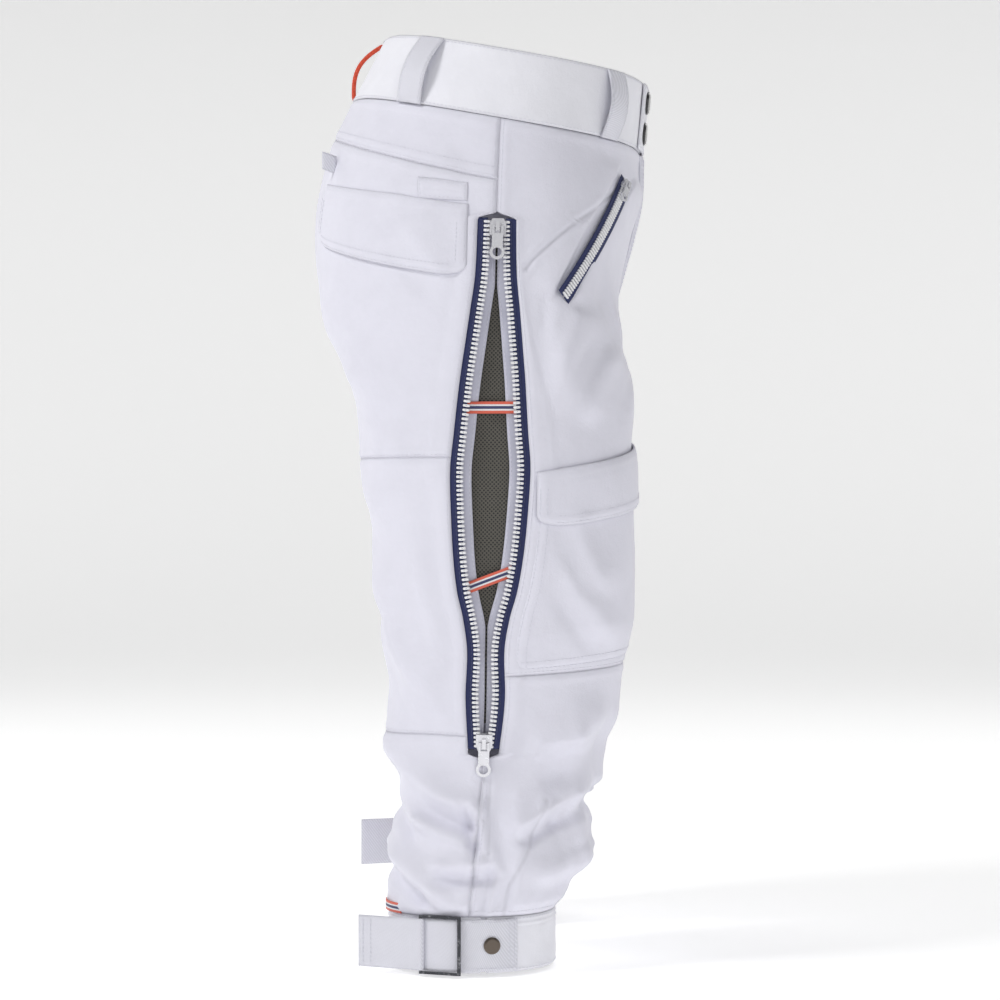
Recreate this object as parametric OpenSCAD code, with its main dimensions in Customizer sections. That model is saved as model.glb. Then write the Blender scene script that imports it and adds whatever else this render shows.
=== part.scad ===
// Knee-length ski breeches: shell panels, waistband, side vents, pockets and buckled cuffs.
// The wearer faces -Y, the wearer's right side is at -X and +Z is up. The origin is the middle of the waist.

/* [Body] */
// How far the back of the waist stands above the front, per millimetre of depth
waist_tilt = 0.177; // [0.1:0.001:0.2]
// How much higher the waist is at the centre front and back than at the sides
waist_arch = 9; // [4:1:12]
// Height of the crotch below the waist
crotch_drop = 260; // [256:1:264]
// How much higher the left cuff is pushed up than the right one
left_lift = 38; // [30:1:40]
// Thickness of the shell fabric with its lining
cloth = 1.2; // [1:0.1:1.4]
/* [Waistband] */
// Top of the waistband above the waist's middle
band_top = 27; // [25:1:28]
// Seam under the waistband, below the waist's middle
band_seam = 28; // [27:1:29]
// Width of a belt loop
loop_w = 24; // [20:1:26]
// Radius of a waist snap's cap
waist_snap_r = 9.3; // [8:0.1:9.5]
// Distance between the two waist snaps
waist_snap_gap = 25.6; // [24:0.1:26]
/* [Side vents] */
// Radius of the arc that each side vent follows down the hip and thigh
vent_r = 1300; // [1290:1:1310]
// Height of the vent's middle below the waist
vent_mid = 310; // [309:1:311]
// Half the length of the vent's opening
vent_half = 205; // [203:1:206]
// Backward slope of the vent's line, per millimetre down
vent_slope = 0.0268; // [0.02:0.001:0.03]
// Width of one row of zip teeth
tooth_w = 5.2; // [4.8:0.1:5.4]
// Thickness of the zip teeth
tooth_t = 3; // [2.6:0.1:3.2]
// Visible width of one zip tape beside its teeth
tape_w = 8.5; // [7.5:0.1:9]
/* [Cuffs] */
// Radius of the cuff band
cuff_r = 65; // [64.6:0.1:65.4]
// Height of the cuff band
cuff_h = 43; // [42:1:44]
// Top of the right cuff below the waist
cuff_top = 641; // [640:1:642]
// Width of the cuff strap
strap_w = 39.6; // [38:0.1:40]
// Length of the right strap's free tail
tail_l = 52; // [44:1:56]
// Length of the left strap's free tail
left_tail_l = 75; // [60:1:76]
/* [Hidden] */
RIGHT = -1;
LEFT = 1;
// Heights down the garment, each with the outer and inner reach sideways, the front, the back and
// the side seam's depth
STATIONS = [
    [40, 155, 0, -115.5, 92, -10],
    [27, 157, 0, -114.5, 99, -8],
    [-28, 165, 0, -109.5, 126, 0],
    [-70, 174, 0, -108.5, 146, 2],
    [-105, 180.5, 0, -101.5, 153, 3],
    [-165, 188.5, 0, -92.5, 144, 4],
    [-228, 194, 0, -98, 120, 6],
    [-260, 195.5, 0, -101, 115, 7],
    [-310, 196.5, 9, -102, 108, 8],
    [-355, 195.7, 16, -99.5, 98, 9],
    [-420, 192, 24, -96, 96, 11],
    [-480, 185.5, 34, -88.5, 87, 12],
    [-517, 180, 38, -78.5, 85.5, 13.5],
    [-545, 181, 40, -67, 84, 15],
    [-576, 186, 42, -66, 87.5, 18],
    [-607, 188, 46, -62, 92, 21],
    [-641, 183, 53, -40.5, 89.5, 24.5]
];
OUTER = 1;
INNER = 2;
FRONT = 3;
BACK = 4;
SEAM = 5;
// Share of the vent's length from its top, with half the gap between its rows of teeth there
VENT_GAP = [
    [0, 4.6], [0.11, 5.8], [0.18, 9], [0.25, 12.2], [0.31, 14.9], [0.41, 18.3], [0.47, 20.4], [0.54, 19.5],
    [0.63, 16.8], [0.7, 12.8], [0.75, 7.7], [0.81, 4.2], [0.9, 5], [1, 1.8]
];
squareness = 0.889;
hem = -cuff_top;
back_seam = -290;
calf_seam = -503;
lift_start = 520;
lift_run = 120;
smooth_fn = 48;
round_fn = 32;

// Arithmetic
function mix(a, b, t) = a + (b - a) * t;
function clamp(t) = min(1, max(0, t));
function ease(t) = let (c = clamp(t)) c * c * (3 - 2 * c);
function unit(v) = v / norm(v);
function bent(v) = sign(v) * pow(abs(v), squareness);
// The row of a table that comes before z; the table's first column falls or rises
function row_before(t, z, i = 0) =
    (i >= len(t) - 2 || (t[0][0] > t[1][0] ? z > t[i + 1][0] : z < t[i + 1][0])) ? i : row_before(t, z, i + 1);
function slope_at(t, i, k) =
    let (a = max(i - 1, 0), b = min(i + 1, len(t) - 1)) (t[b][k] - t[a][k]) / (t[b][0] - t[a][0]);
// A smooth curve through column k of a table
function through(t, z, k) =
    let (i = row_before(t, z), h = t[i + 1][0] - t[i][0], s = (z - t[i][0]) / h, s2 = s * s, s3 = s2 * s)
    (2 * s3 - 3 * s2 + 1) * t[i][k] + (s3 - 2 * s2 + s) * h * slope_at(t, i, k)
    + (3 * s2 - 2 * s3) * t[i + 1][k] + (s3 - s2) * h * slope_at(t, i + 1, k);

// The garment's surface. u runs from the centre front or inseam (0) by the side seam (0.5) to the back (1).
function closing(z) = clamp((-band_seam - z) / (crotch_drop - band_seam));
function start_angle(z) = 90 * (1 - pow(closing(z), 2));
function plan(u, z) =
    let (
        start = start_angle(z),
        turn = start + u * (360 - 2 * start),
        outer = through(STATIONS, z, OUTER),
        inner = z < -crotch_drop ? through(STATIONS, z, INNER) : 0,
        reach_in = z < -crotch_drop ? (outer - inner) / 2 : mix(outer, outer / 2, closing(z)),
        middle = z < -crotch_drop ? -(outer + inner) / 2 : -reach_in * bent(cos(start)),
        seam = through(STATIONS, z, SEAM),
        side_reach = cos(turn) > 0 ? reach_in : outer + middle,
        depth = sin(turn) > 0 ? seam - through(STATIONS, z, FRONT) : through(STATIONS, z, BACK) - seam
    )
    [middle + side_reach * bent(cos(turn)), seam - depth * bent(sin(turn)), outer];
function form(side, u, z) =
    let (
        p = plan(u, z),
        tilted = ease((z + 150) / 122),
        lifted = side == LEFT ? left_lift * ease((-lift_start - z) / lift_run) : 0
    )
    [-side * p[0], p[1], z + tilted * (waist_tilt * p[1] + waist_arch * (1 - pow(p[0] / p[2], 2))) + lifted];
function outward(side, u, z) =
    let (
        du = form(side, min(u + 0.004, 1), z) - form(side, max(u - 0.004, 0), z),
        dz = form(side, u, z + 1.5) - form(side, u, z - 1.5)
    )
    unit(cross(du, dz)) * side;
function skin(side, u, z, off) = form(side, u, z) + off * outward(side, u, z);
// A point of the surface all round the trunk: 0 centre front, 90 left side, 180 back, 270 right
function around(a, z, off) = a <= 180 ? skin(LEFT, a / 180, z, off) : skin(RIGHT, (360 - a) / 180, z, off);
// The share u at which the surface has depth y, near the side seam
function share_at_depth(z, y) =
    let (
        seam = through(STATIONS, z, SEAM),
        depth = y < seam ? seam - through(STATIONS, z, FRONT) : through(STATIONS, z, BACK) - seam,
        lean = asin(pow(min(1, abs(y - seam) / depth), 1 / squareness)),
        start = start_angle(z)
    )
    ((y < seam ? 180 - lean : 180 + lean) - start) / (360 - 2 * start);

// A closed slab between two grids of points, outer first; flip it where the grids are mirrored
function two_triangles(a, b, c, d) = [[a, b, c], [a, c, d]];
function slab_faces(n, m) =
    let (w = m + 1, k = (n + 1) * w) concat(
        [for (i = [0:n - 1], j = [0:m - 1])
            each two_triangles(i * w + j, i * w + j + 1, (i + 1) * w + j + 1, (i + 1) * w + j)],
        [for (i = [0:n - 1], j = [0:m - 1])
            each two_triangles(k + i * w + j, k + (i + 1) * w + j, k + (i + 1) * w + j + 1, k + i * w + j + 1)],
        [for (j = [0:m - 1]) each two_triangles(j + 1, j, k + j, k + j + 1)],
        [for (j = [0:m - 1]) each two_triangles(n * w + j, n * w + j + 1, k + n * w + j + 1, k + n * w + j)],
        [for (i = [0:n - 1]) each two_triangles(i * w, (i + 1) * w, k + (i + 1) * w, k + i * w)],
        [for (i = [0:n - 1]) each two_triangles((i + 1) * w + m, i * w + m, k + i * w + m, k + (i + 1) * w + m)]
    );
module slab(n, m, outer, inner, flip = false) {
    faces = slab_faces(n, m);
    polyhedron(
        points = concat([for (row = outer) each row], [for (row = inner) each row]),
        faces = flip ? [for (f = faces) [f[2], f[1], f[0]]] : faces
    );
}
function even(n) = [for (i = [0:n]) i / n];
flat_lift = function(s, t) 0;
// A piece of cloth on the surface. top and bottom give heights by share across; near and far give u by height.
// rows are shares down the piece, and lift(down, across) raises it off the surface.
module panel(side, m, rows, top, bottom, near, far, lift = flat_lift, out = cloth / 2, in = -cloth / 2) {
    grid = [for (off = [out, in]) [for (s = rows) [for (j = [0:m])
        let (t = j / m, z = mix(top(t), bottom(t), s)) skin(side, mix(near(z), far(z), t), z, off + lift(s, t))
    ]]];
    slab(len(rows) - 1, m, grid[0], grid[1], side == RIGHT);
}
// A piece of cloth round the trunk between angles a0 and a1 and heights z1 and z0
module girdle(n, m, a0, a1, z0, z1, out, in) {
    grid = [for (off = [out, in]) [for (i = [0:n]) [for (j = [0:m])
        around(mix(a0, a1, j / m), mix(z1, z0, i / n), off)
    ]]];
    slab(n, m, grid[0], grid[1]);
}
// Places children on the surface with X outward, Y towards the back of the side and Z up
module set_on(p, out_dir, up = [0, 0, 1]) {
    x = unit(out_dir);
    y = unit(cross(up, x));
    z = cross(x, y);
    multmatrix([
        [x[0], y[0], z[0], p[0]], [x[1], y[1], z[1], p[1]], [x[2], y[2], z[2], p[2]], [0, 0, 0, 1]
    ]) children();
}
module mirrored_to(side) {
    if (side == RIGHT) children();
    else mirror([1, 0, 0]) children();
}

// Waistband and what is on it
band_gap = 1.5;
module waistband() {
    color("whitesmoke")
        girdle(3, 40, band_gap, 360 - band_gap, -band_seam, band_top, cloth / 2 + 0.4, -cloth / 2);
}
module waistband_lining() {
    lining_t = 0.8;
    lining_out = -cloth / 2 - 0.9;
    color("darkslateblue") girdle(3, 40, band_gap, 360 - band_gap, 2 - band_seam, band_top - 1.5,
        lining_out, lining_out - lining_t);
}
// Angles of the belt loops round the waist
LOOP_ANGLES = [44, 122, 238, 316];
loop_stand = 7;
loop_t = 1.4;
// A strap that leaves the band at its top, bows outward and comes back at its seam
module bowed_loop(a, w, stand, t, low, high) {
    mid = around(a, (low + high) / 2, 0);
    ahead = unit(around(a + 1, (low + high) / 2, 0) - around(a - 1, (low + high) / 2, 0));
    foot = cloth / 2 + 0.5;
    steps = 10;
    bow = [for (i = [0:steps])
        let (s = i / steps, z = mix(high, low, s)) [around(a, z, foot + stand * sin(180 * s)), z]
    ];
    grid = [for (k = [1, 0]) [for (b = bow) [for (e = [-1, 1])
        b[0] + ahead * e * w / 2
            + unit(around(a, 0, 1) - around(a, 0, 0)) * (k * t + 0.35 * (w / 24) * (w / 24))
    ]]];
    slab(steps, 1, grid[0], grid[1]);
}
module belt_loops() {
    color("white") for (a = LOOP_ANGLES)
        bowed_loop(a, loop_w, loop_stand, loop_t, -band_seam - 1, band_top - 0.5);
}
module back_ribbon_loop() {
    color("tomato") bowed_loop(180, 11, 11, 1, 3 - band_seam, band_top + 1);
}
// The buttoning tab laps from the left over the right front edge
tab_hinge_angle = 11;
tab_end_angle = -17;
function wrapped(a) = a < 0 ? a + 360 : a;
module waist_tab() {
    grid = [for (off = [3.6, 2]) [for (i = [0:3]) [for (j = [0:8])
        around(wrapped(mix(tab_end_angle, tab_hinge_angle, j / 8)),
            mix(band_top - 0.5, -band_seam + 0.5, i / 3), off)
    ]]];
    color("whitesmoke") slab(3, 8, grid[0], grid[1]);
}
snap_angle = 360 - 11;
SNAP_HEIGHTS = [waist_snap_gap / 2 - 0.5, -waist_snap_gap / 2 - 0.5];
module at_waist_snap(z, off) {
    out = around(snap_angle, z, 1) - around(snap_angle, z, 0);
    set_on(around(snap_angle, z, off), out) rotate([0, 90, 0]) children();
}
module waist_snap_caps() {
    color("black") for (z = SNAP_HEIGHTS) at_waist_snap(z, 3.9) {
        cylinder(r = waist_snap_r, h = 1.2, $fn = smooth_fn);
        translate([0, 0, 1.2]) cylinder(r1 = waist_snap_r, r2 = waist_snap_r - 1.4, h = 1, $fn = smooth_fn);
    }
}
module waist_snap_studs() {
    color("dimgray") for (z = SNAP_HEIGHTS) at_waist_snap(z, 1.15) cylinder(r = 5.5, h = 0.5, $fn = smooth_fn);
}

// Zips. A zip follows an arc through three points; at the arc's own frame X is outward and Y runs along it.
// An arc is [centre, x, y, axis, radius, half angle], with its middle point along x
function arc_through(p, q, r) =
    let (
        a = p - q, b = r - q, axis = unit(cross(a, b)), c = cross(a, b),
        centre = q + cross((a * a) * b - (b * b) * a, c) / (2 * (c * c)),
        radius = norm(p - centre),
        chord = unit(p - r), x = unit(q - centre), z = unit(cross(x, chord)), y = cross(z, x)
    )
    [centre, x, y, z, radius, acos(clamp(unit(p - centre) * x))];
module in_arc(arc, angle = 0) {
    c = arc[0];
    x = arc[1];
    y = arc[2];
    z = arc[3];
    multmatrix([[x[0], y[0], z[0], c[0]], [x[1], y[1], z[1], c[1]], [x[2], y[2], z[2], c[2]], [0, 0, 0, 1]])
        rotate([0, 0, angle]) children();
}
// A strip of an arc: radial reach r0 to r1 from the arc, width h0 to h1 along its axis, angles a0 to a1
module arc_strip(arc, r0, r1, h0, h1, a0, a1) {
    in_arc(arc, a0) rotate_extrude(angle = a1 - a0, $fn = 200)
        translate([arc[4] + r0, h0]) square([r1 - r0, h1 - h0]);
}
slider_l = 13;
slider_w = 12.6;
plate_t = 1.2;
plate_gap = tooth_t / 2 + 0.7;
plate_top = plate_gap + plate_t;
pivot_r = plate_top + 1.3;
small = 0.7;
// A zip slider at an angle of an arc: two plates, what joins them and the bridge that holds the puller.
// An open zip's slider has a post between its rows; a closed zip's slider has walls beside its chain.
module slider_body(arc, angle, mouth, size = 1, walled = false) {
    in_arc(arc, angle) translate([arc[4], 0, 0]) scale(size) {
        for (s = [1, -1]) translate([s * (plate_gap + plate_t / 2), 0, 0]) rotate([0, 90, 0])
            linear_extrude(plate_t, center = true) polygon([
                [-slider_w / 2, -mouth * slider_l / 2], [slider_w / 2, -mouth * slider_l / 2],
                [slider_w / 2, mouth * 2], [4.4, mouth * slider_l / 2], [-4.4, mouth * slider_l / 2],
                [-slider_w / 2, mouth * 2]
            ]);
        if (walled) {
            for (s = [1, -1]) translate([0, -mouth * 2, s * (slider_w / 2 - 0.5)])
                cube([2 * plate_gap + 1, 7, 1], center = true);
        } else {
            translate([0, 0, 0]) cube([2 * plate_gap + 1, 6, 2], center = true);
        }
        for (s = [1, -1]) translate([plate_top + 1.3, s * 3, 0]) cube([3.6, 1.6, 3], center = true);
        translate([plate_top + 2.7, 0, 0]) cube([1, 7.6, 3], center = true);
    }
}
puller_l = 26;
puller_w = 11.5;
puller_hole_r = 3.5;
puller_t = 1.6;
ring_at = puller_l - puller_w / 2;
// A ring-ended puller that hangs from the slider's bridge on a pin of its own
module puller_body(arc, angle, size = 1) {
    in_arc(arc, angle) translate([arc[4] + pivot_r * size, 0, 0]) scale(size) {
        cylinder(r = 0.6, h = 8, center = true, $fn = round_fn);
        difference() {
            union() {
                translate([0, -ring_at / 2 + 0.4, 0]) cube([puller_t, ring_at + 0.8, 8.4], center = true);
                translate([0, -ring_at, 0]) rotate([0, 90, 0])
                    cylinder(r = puller_w / 2, h = puller_t, center = true, $fn = smooth_fn);
            }
            translate([0, -ring_at, 0]) rotate([0, 90, 0])
                cylinder(r = puller_hole_r, h = puller_t + 2, center = true, $fn = smooth_fn);
            translate([0, -2, 0]) cube([puller_t + 2, 7.2, 5], center = true);
        }
    }
}

// Shell panels
seam_gap = 0.3;
edge_u = 0.0012;
vent_top = vent_mid - vent_half;
vent_bottom = vent_mid + vent_half;
function vent_share(z) = clamp((-z - vent_top) / (vent_bottom - vent_top));
function gap(z) = through(VENT_GAP, vent_share(z), 1);
function vent_edge(z) = (gap(z) + tooth_w + tape_w) * ease((8 - vent_top - z) / 10)
    * ease((z + vent_bottom + 12) / 10);
function at_vent(z, v) = share_at_depth(z, through(STATIONS, z, SEAM) + v);
function before_vent(z) = at_vent(z, -vent_edge(z) - seam_gap);
function behind_vent(z) = at_vent(z, vent_edge(z) + seam_gap);
fly_half = 0.03;
fly_bottom = 165;
function front_edge(z) = edge_u + fly_half * ease((fly_bottom + 6 + z) / 12);
function yoke_seam(t) = mix(-77, -54, t);
function knee_seam(t) = mix(-441, -457, t);
function band_line(t) = -band_seam - seam_gap;
function below(f) = function(t) f(t) - 2 * seam_gap;
function level(z) = function(t) z;
function last(u) = function(z) u;
module front_thigh(side) {
    rows = [0, 0.08, 0.157, 0.185, 0.25, 0.31, 0.34, 0.42, 0.5, 0.58, 0.66, 0.74, 0.82, 0.91, 1];
    panel(side, 12, rows, function(t) band_line(t), function(t) knee_seam(t),
        function(z) front_edge(z), function(z) before_vent(z));
}
module shin(side) {
    rows = [0, 0.12, 0.24, 0.34, 0.38, 0.46, 0.55, 0.65, 0.76, 0.88, 1];
    panel(side, 12, rows, below(function(t) knee_seam(t)), level(hem), last(edge_u),
        function(z) before_vent(z));
}
module yoke(side) {
    panel(side, 12, even(3), function(t) band_line(t), function(t) yoke_seam(t),
        function(z) at_vent(z, seam_gap), last(1 - edge_u));
}
module seat(side) {
    rows = [0, 0.08, 0.15, 0.3, 0.45, 0.6, 0.7, 0.8, 0.9, 1];
    panel(side, 12, rows, below(function(t) yoke_seam(t)), level(back_seam),
        function(z) behind_vent(z), last(1 - edge_u));
}
module back_thigh(side) {
    panel(side, 12, even(7), level(back_seam - 2 * seam_gap), level(calf_seam),
        function(z) behind_vent(z), last(1 - edge_u));
}
module calf(side) {
    rows = [0, 0.085, 0.16, 0.3, 0.44, 0.58, 0.72, 0.86, 1];
    panel(side, 12, rows, level(calf_seam - 2 * seam_gap), level(hem), function(z) behind_vent(z),
        last(1 - edge_u));
}
module front_thigh_panel_right() {
    color("lavender") front_thigh(RIGHT);
}
module front_thigh_panel_left() {
    color("lavender") front_thigh(LEFT);
}
module shin_panel_right() {
    color("ghostwhite") shin(RIGHT);
}
module shin_panel_left() {
    color("ghostwhite") shin(LEFT);
}
module yoke_right() {
    color("ghostwhite") yoke(RIGHT);
}
module yoke_left() {
    color("ghostwhite") yoke(LEFT);
}
module seat_panel_right() {
    color("lavender") seat(RIGHT);
}
module seat_panel_left() {
    color("lavender") seat(LEFT);
}
module back_thigh_panel_right() {
    color("ghostwhite") back_thigh(RIGHT);
}
module back_thigh_panel_left() {
    color("ghostwhite") back_thigh(LEFT);
}
module calf_panel_right() {
    color("lavender") calf(RIGHT);
}
module calf_panel_left() {
    color("lavender") calf(LEFT);
}

// Side vents
// A lengthwise strip of a vent between two distances across it, given by height
module vent_strip(side, z1, z0, v0, v1, out, in, n = 26, m = 1) {
    panel(side, m, even(n), level(z1), level(z0), function(z) at_vent(z, v0(z)), function(z) at_vent(z, v1(z)),
        flat_lift, out, in);
}
module vent_pair(z1, z0, near, wide, out, in) {
    for (side = [RIGHT, LEFT]) {
        vent_strip(side, z1, z0, function(z) -wide(z), function(z) -near(z), out, in);
        vent_strip(side, z1, z0, function(z) near(z), function(z) wide(z), out, in);
    }
}
tape_clear = 1;
module vent_tapes() {
    color("midnightblue") vent_pair(-vent_top - 2, 2 - vent_bottom,
        function(z) gap(z) + tooth_w + seam_gap, function(z) gap(z) + tooth_w + tape_w - tape_clear, 0.5, -0.3);
}
module vent_teeth() {
    color("white") vent_pair(-vent_top - 2, 2 - vent_bottom,
        function(z) gap(z), function(z) gap(z) + tooth_w, tooth_t / 2, -tooth_t / 2);
}
module vent_facings() {
    color("lavender") vent_pair(-vent_top - 4, 4 - vent_bottom,
        function(z) max(0.8, gap(z) - 4), function(z) gap(z) + tooth_w + tape_w, -6, -6.8);
}
module vent_mesh() {
    color("dimgray") for (side = [RIGHT, LEFT]) vent_strip(side, -vent_top - 4, 20 - vent_bottom,
        function(z) -gap(z) - tooth_w - tape_w, function(z) gap(z) + tooth_w + tape_w, -7.4, -8, 16, 4);
}
RIBBONS = [[252, 0], [384, 7]];
ribbon_h = 8;
module vent_ribbons() {
    color("indianred") for (side = [RIGHT, LEFT], r = RIBBONS) {
        half = gap(-r[0]) + tooth_w + 2;
        slope = r[1];
        panel(side, 6, [0, 1], function(t) ribbon_h / 2 - r[0] - slope * (1 - 2 * t) * -1,
            function(t) -ribbon_h / 2 - r[0] - slope * (1 - 2 * t) * -1,
            function(z) at_vent(-r[0], -half), function(z) at_vent(-r[0], half), flat_lift, -4.4, -5.2);
    }
}
function vent_point(drop) = [
    -(through(STATIONS, -vent_mid, OUTER) - vent_r + sqrt(vent_r * vent_r - drop * drop)),
    7.5 + vent_slope * drop, -vent_mid - drop
];
VENT_ARC = arc_through(vent_point(-vent_half), vent_point(0), vent_point(vent_half));
top_stop = VENT_ARC[5] - 0.42;
bottom_stop = -VENT_ARC[5] + 0.32;
module vent_top_slider(side) {
    color("gainsboro") mirrored_to(side) slider_body(VENT_ARC, top_stop, 1);
}
module vent_top_puller(side) {
    color("gainsboro") mirrored_to(side) puller_body(VENT_ARC, top_stop);
}
module vent_bottom_slider(side) {
    color("gainsboro") mirrored_to(side) slider_body(VENT_ARC, bottom_stop, -1);
}
module vent_bottom_puller(side) {
    color("gainsboro") mirrored_to(side) puller_body(VENT_ARC, bottom_stop);
}

// Hand pockets
HAND_TOP = [-93, -62];
HAND_LOW = [-46, -168];
function hand_skin(e, off) = skin(RIGHT, share_at_depth(e[1], e[0]), e[1], off);
hand_off = 5;
hand_mid = (HAND_TOP + HAND_LOW) / 2;
hand_chord = (hand_skin(HAND_TOP, hand_off) + hand_skin(HAND_LOW, hand_off)) / 2;
hand_out = unit(hand_skin(hand_mid, 1) - hand_skin(hand_mid, 0));
hand_bulge = (hand_skin(hand_mid, hand_off) - hand_chord) * hand_out;
HAND_ARC = arc_through(
    hand_skin(HAND_TOP, hand_off), hand_chord + hand_out * hand_bulge, hand_skin(HAND_LOW, hand_off)
);
hand_chain_w = 5.2;
hand_chain_t = 1.9;
hand_stop = HAND_ARC[5] - 0.8;
module hand_pocket_chains() {
    color("white") for (side = [RIGHT, LEFT]) mirrored_to(side) arc_strip(HAND_ARC, -hand_chain_t / 2,
        hand_chain_t / 2, -hand_chain_w / 2, hand_chain_w / 2, -HAND_ARC[5], HAND_ARC[5]);
}
module hand_pocket_bags() {
    color("lightgray") for (side = [RIGHT, LEFT]) panel(side, 6, even(6), level(-56), level(-236), last(0.14),
        last(0.4), flat_lift, -2, -2.8);
}
module hand_pocket_slider(side) {
    color("gainsboro") mirrored_to(side) slider_body(HAND_ARC, hand_stop, 1, small, true);
}
module hand_pocket_puller(side) {
    color("gainsboro") mirrored_to(side) puller_body(HAND_ARC, hand_stop, small);
}

// Fly
fly_in = 2.6;
function fly_point(z) = skin(RIGHT, 0, z, -fly_in);
function on_middle(p) = [0, p[1], p[2]];
FLY_ARC = arc_through(on_middle(fly_point(-40)), on_middle(fly_point(-98)), on_middle(fly_point(-156)));
module fly_chain() {
    color("white") arc_strip(FLY_ARC, -hand_chain_t / 2, hand_chain_t / 2, -hand_chain_w / 2, hand_chain_w / 2,
        -FLY_ARC[5], FLY_ARC[5]);
}
fly_stop = FLY_ARC[5] - 1.6;
module fly_slider() {
    color("silver") slider_body(FLY_ARC, fly_stop, 1, small, true);
}
module fly_puller() {
    color("silver") puller_body(FLY_ARC, fly_stop, small);
}
// The facing stands over the closed zip and lies on the shell along both its edges
fly_from = -8.5;
fly_to = 9;
module fly_facing() {
    color("whitesmoke") {
        grid = [for (off = [1.2, 0]) [for (i = [0:7]) [for (j = [0:10])
            let (a = mix(fly_from, fly_to, j / 10), stand = 1 + 2.2 * ease((8 - abs(a)) / 2.4))
            around(wrapped(a), mix(-30.5, -174, i / 7), off + stand)
        ]]];
        slab(7, 10, grid[0], grid[1]);
    }
}

// Flaps and pockets
function corner(t) = 8 * (pow(1 - clamp(t / 0.09), 2) + pow(1 - clamp((1 - t) / 0.09), 2));
back_flap_far = 0.84;
back_flap_off = 2.2;
flap_t = 1.2;
function back_flap_top(t) = mix(-99, -89, t);
function back_flap_low(t) = mix(-154, -122, t) + corner(t);
function back_flap_near(z) = at_vent(z, vent_edge(-150) + 2.5);
module back_flap(side) {
    panel(side, 12, even(3), function(t) back_flap_top(t), function(t) back_flap_low(t),
        function(z) back_flap_near(z), last(back_flap_far), flat_lift, back_flap_off + flap_t / 2,
        back_flap_off - flap_t / 2);
}
cargo_near = 0.12;
cargo_off = 4.8;
function cargo_flap_top(t) = mix(-268, -303, t);
function cargo_flap_low(t) = mix(-308, -344, t) - 14 * t * (1 - t) + corner(t);
function cargo_edge(z) = at_vent(z, -vent_edge(z) - 3.5);
function pocket_lift(s, t) = 2.4 + 4 * ease((s - 0.33) / 0.27) * ease((1 - s) / 0.25) * pow(sin(180 * t), 1.1);
module cargo_flap(side) {
    panel(side, 10, even(3), function(t) cargo_flap_top(t), function(t) cargo_flap_low(t), last(cargo_near),
        function(z) at_vent(z, -35), flat_lift, cargo_off + flap_t / 2, cargo_off - flap_t / 2);
}
module cargo_pocket(side) {
    panel(side, 10, even(9), function(t) cargo_flap_top(t) - 5, function(t) knee_seam(t) + 3,
        last(cargo_near - 0.01),
        function(z) cargo_edge(z), function(s, t) pocket_lift(s, t));
}
tab_low = -95;
module back_pocket_tabs() {
    color("white") for (side = [RIGHT, LEFT]) {
        panel(side, 3, even(1), level(tab_low + 13), level(tab_low), function(z) at_vent(z, 23),
            function(z) at_vent(z, 61), flat_lift, 2, 0.9);
        end = skin(side, back_flap_far - 0.01, -76, 0);
        out = outward(side, back_flap_far - 0.01, -76);
        set_on(end + out * 7, out) cube([12, 1.6, 14], center = true);
    }
}

// Cuffs: angles go from straight outward towards the back
cuff_x = -118;
cuff_y = 24.5;
module at_cuff(side) {
    mirrored_to(side) translate([cuff_x, cuff_y, hem - seam_gap - cuff_h / 2 + (side == LEFT ? left_lift : 0)])
        children();
}
module cuff_arc(r0, r1, h, from, to) {
    rotate([0, 0, 180 - to]) rotate_extrude(angle = to - from, $fn = 96)
        translate([r0, -h / 2]) square([r1 - r0, h]);
}
module round_cuff(angle) {
    rotate([0, 0, 180 - angle]) rotate([0, 90, 0]) children();
}
strap_from = -33;
strap_to = 34;
strap_in = cuff_r + 1.4;
strap_t = 1.3;
snap_at = -15;
front_bar = 6;
rear_bar = 32;
bar_r = 1.4;
bar_at = cuff_r + 5.4;
ring_h = 45;
module cuff_band(side) {
    at_cuff(side) cuff_arc(cuff_r - 1, cuff_r + 1, cuff_h, -8, 348);
}
module cuff_strap(side) {
    at_cuff(side) cuff_arc(strap_in, strap_in + strap_t, strap_w, strap_from, strap_to);
}
function bar_point(a) = [-bar_at * cos(a), bar_at * sin(a), 0];
module cuff_buckle(side) {
    at_cuff(side) {
        for (a = [front_bar, rear_bar]) translate(bar_point(a))
            cylinder(r = bar_r, h = ring_h, center = true, $fn = round_fn);
        middle = (bar_point(front_bar) + bar_point(rear_bar)) / 2;
        span = norm(bar_point(front_bar) - bar_point(rear_bar));
        for (s = [1, -1]) translate(middle + [0, 0, s * (ring_h / 2 - 1)])
            rotate([0, 0, -(front_bar + rear_bar) / 2]) cube([2 * bar_r, span, 2], center = true);
    }
}
tail_lean = 21;
module strap_tail(side) {
    long = side == LEFT ? left_tail_l : tail_l;
    at_cuff(side) translate(bar_point(rear_bar)) rotate([0, 0, -tail_lean])
        translate([0, bar_r + 0.3 + long / 2, 0]) cube([strap_t, long, strap_w], center = true);
}
module cuff_snap_caps() {
    color("dimgray") for (side = [RIGHT, LEFT]) at_cuff(side) round_cuff(snap_at) {
        translate([0, 0, strap_in + strap_t + 0.3]) cylinder(r = 6.5, h = 1, $fn = smooth_fn);
        translate([0, 0, strap_in + strap_t + 1.3]) cylinder(r1 = 6.5, r2 = 5, h = 0.9, $fn = smooth_fn);
    }
}
module cuff_snap_studs() {
    color("dimgray") for (side = [RIGHT, LEFT]) at_cuff(side) round_cuff(snap_at)
        translate([0, 0, cuff_r - 2.4]) cylinder(r = 5, h = 0.9, $fn = smooth_fn);
}
module vent_top_slider_right() {
    vent_top_slider(RIGHT);
}
module vent_top_slider_left() {
    vent_top_slider(LEFT);
}
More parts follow.
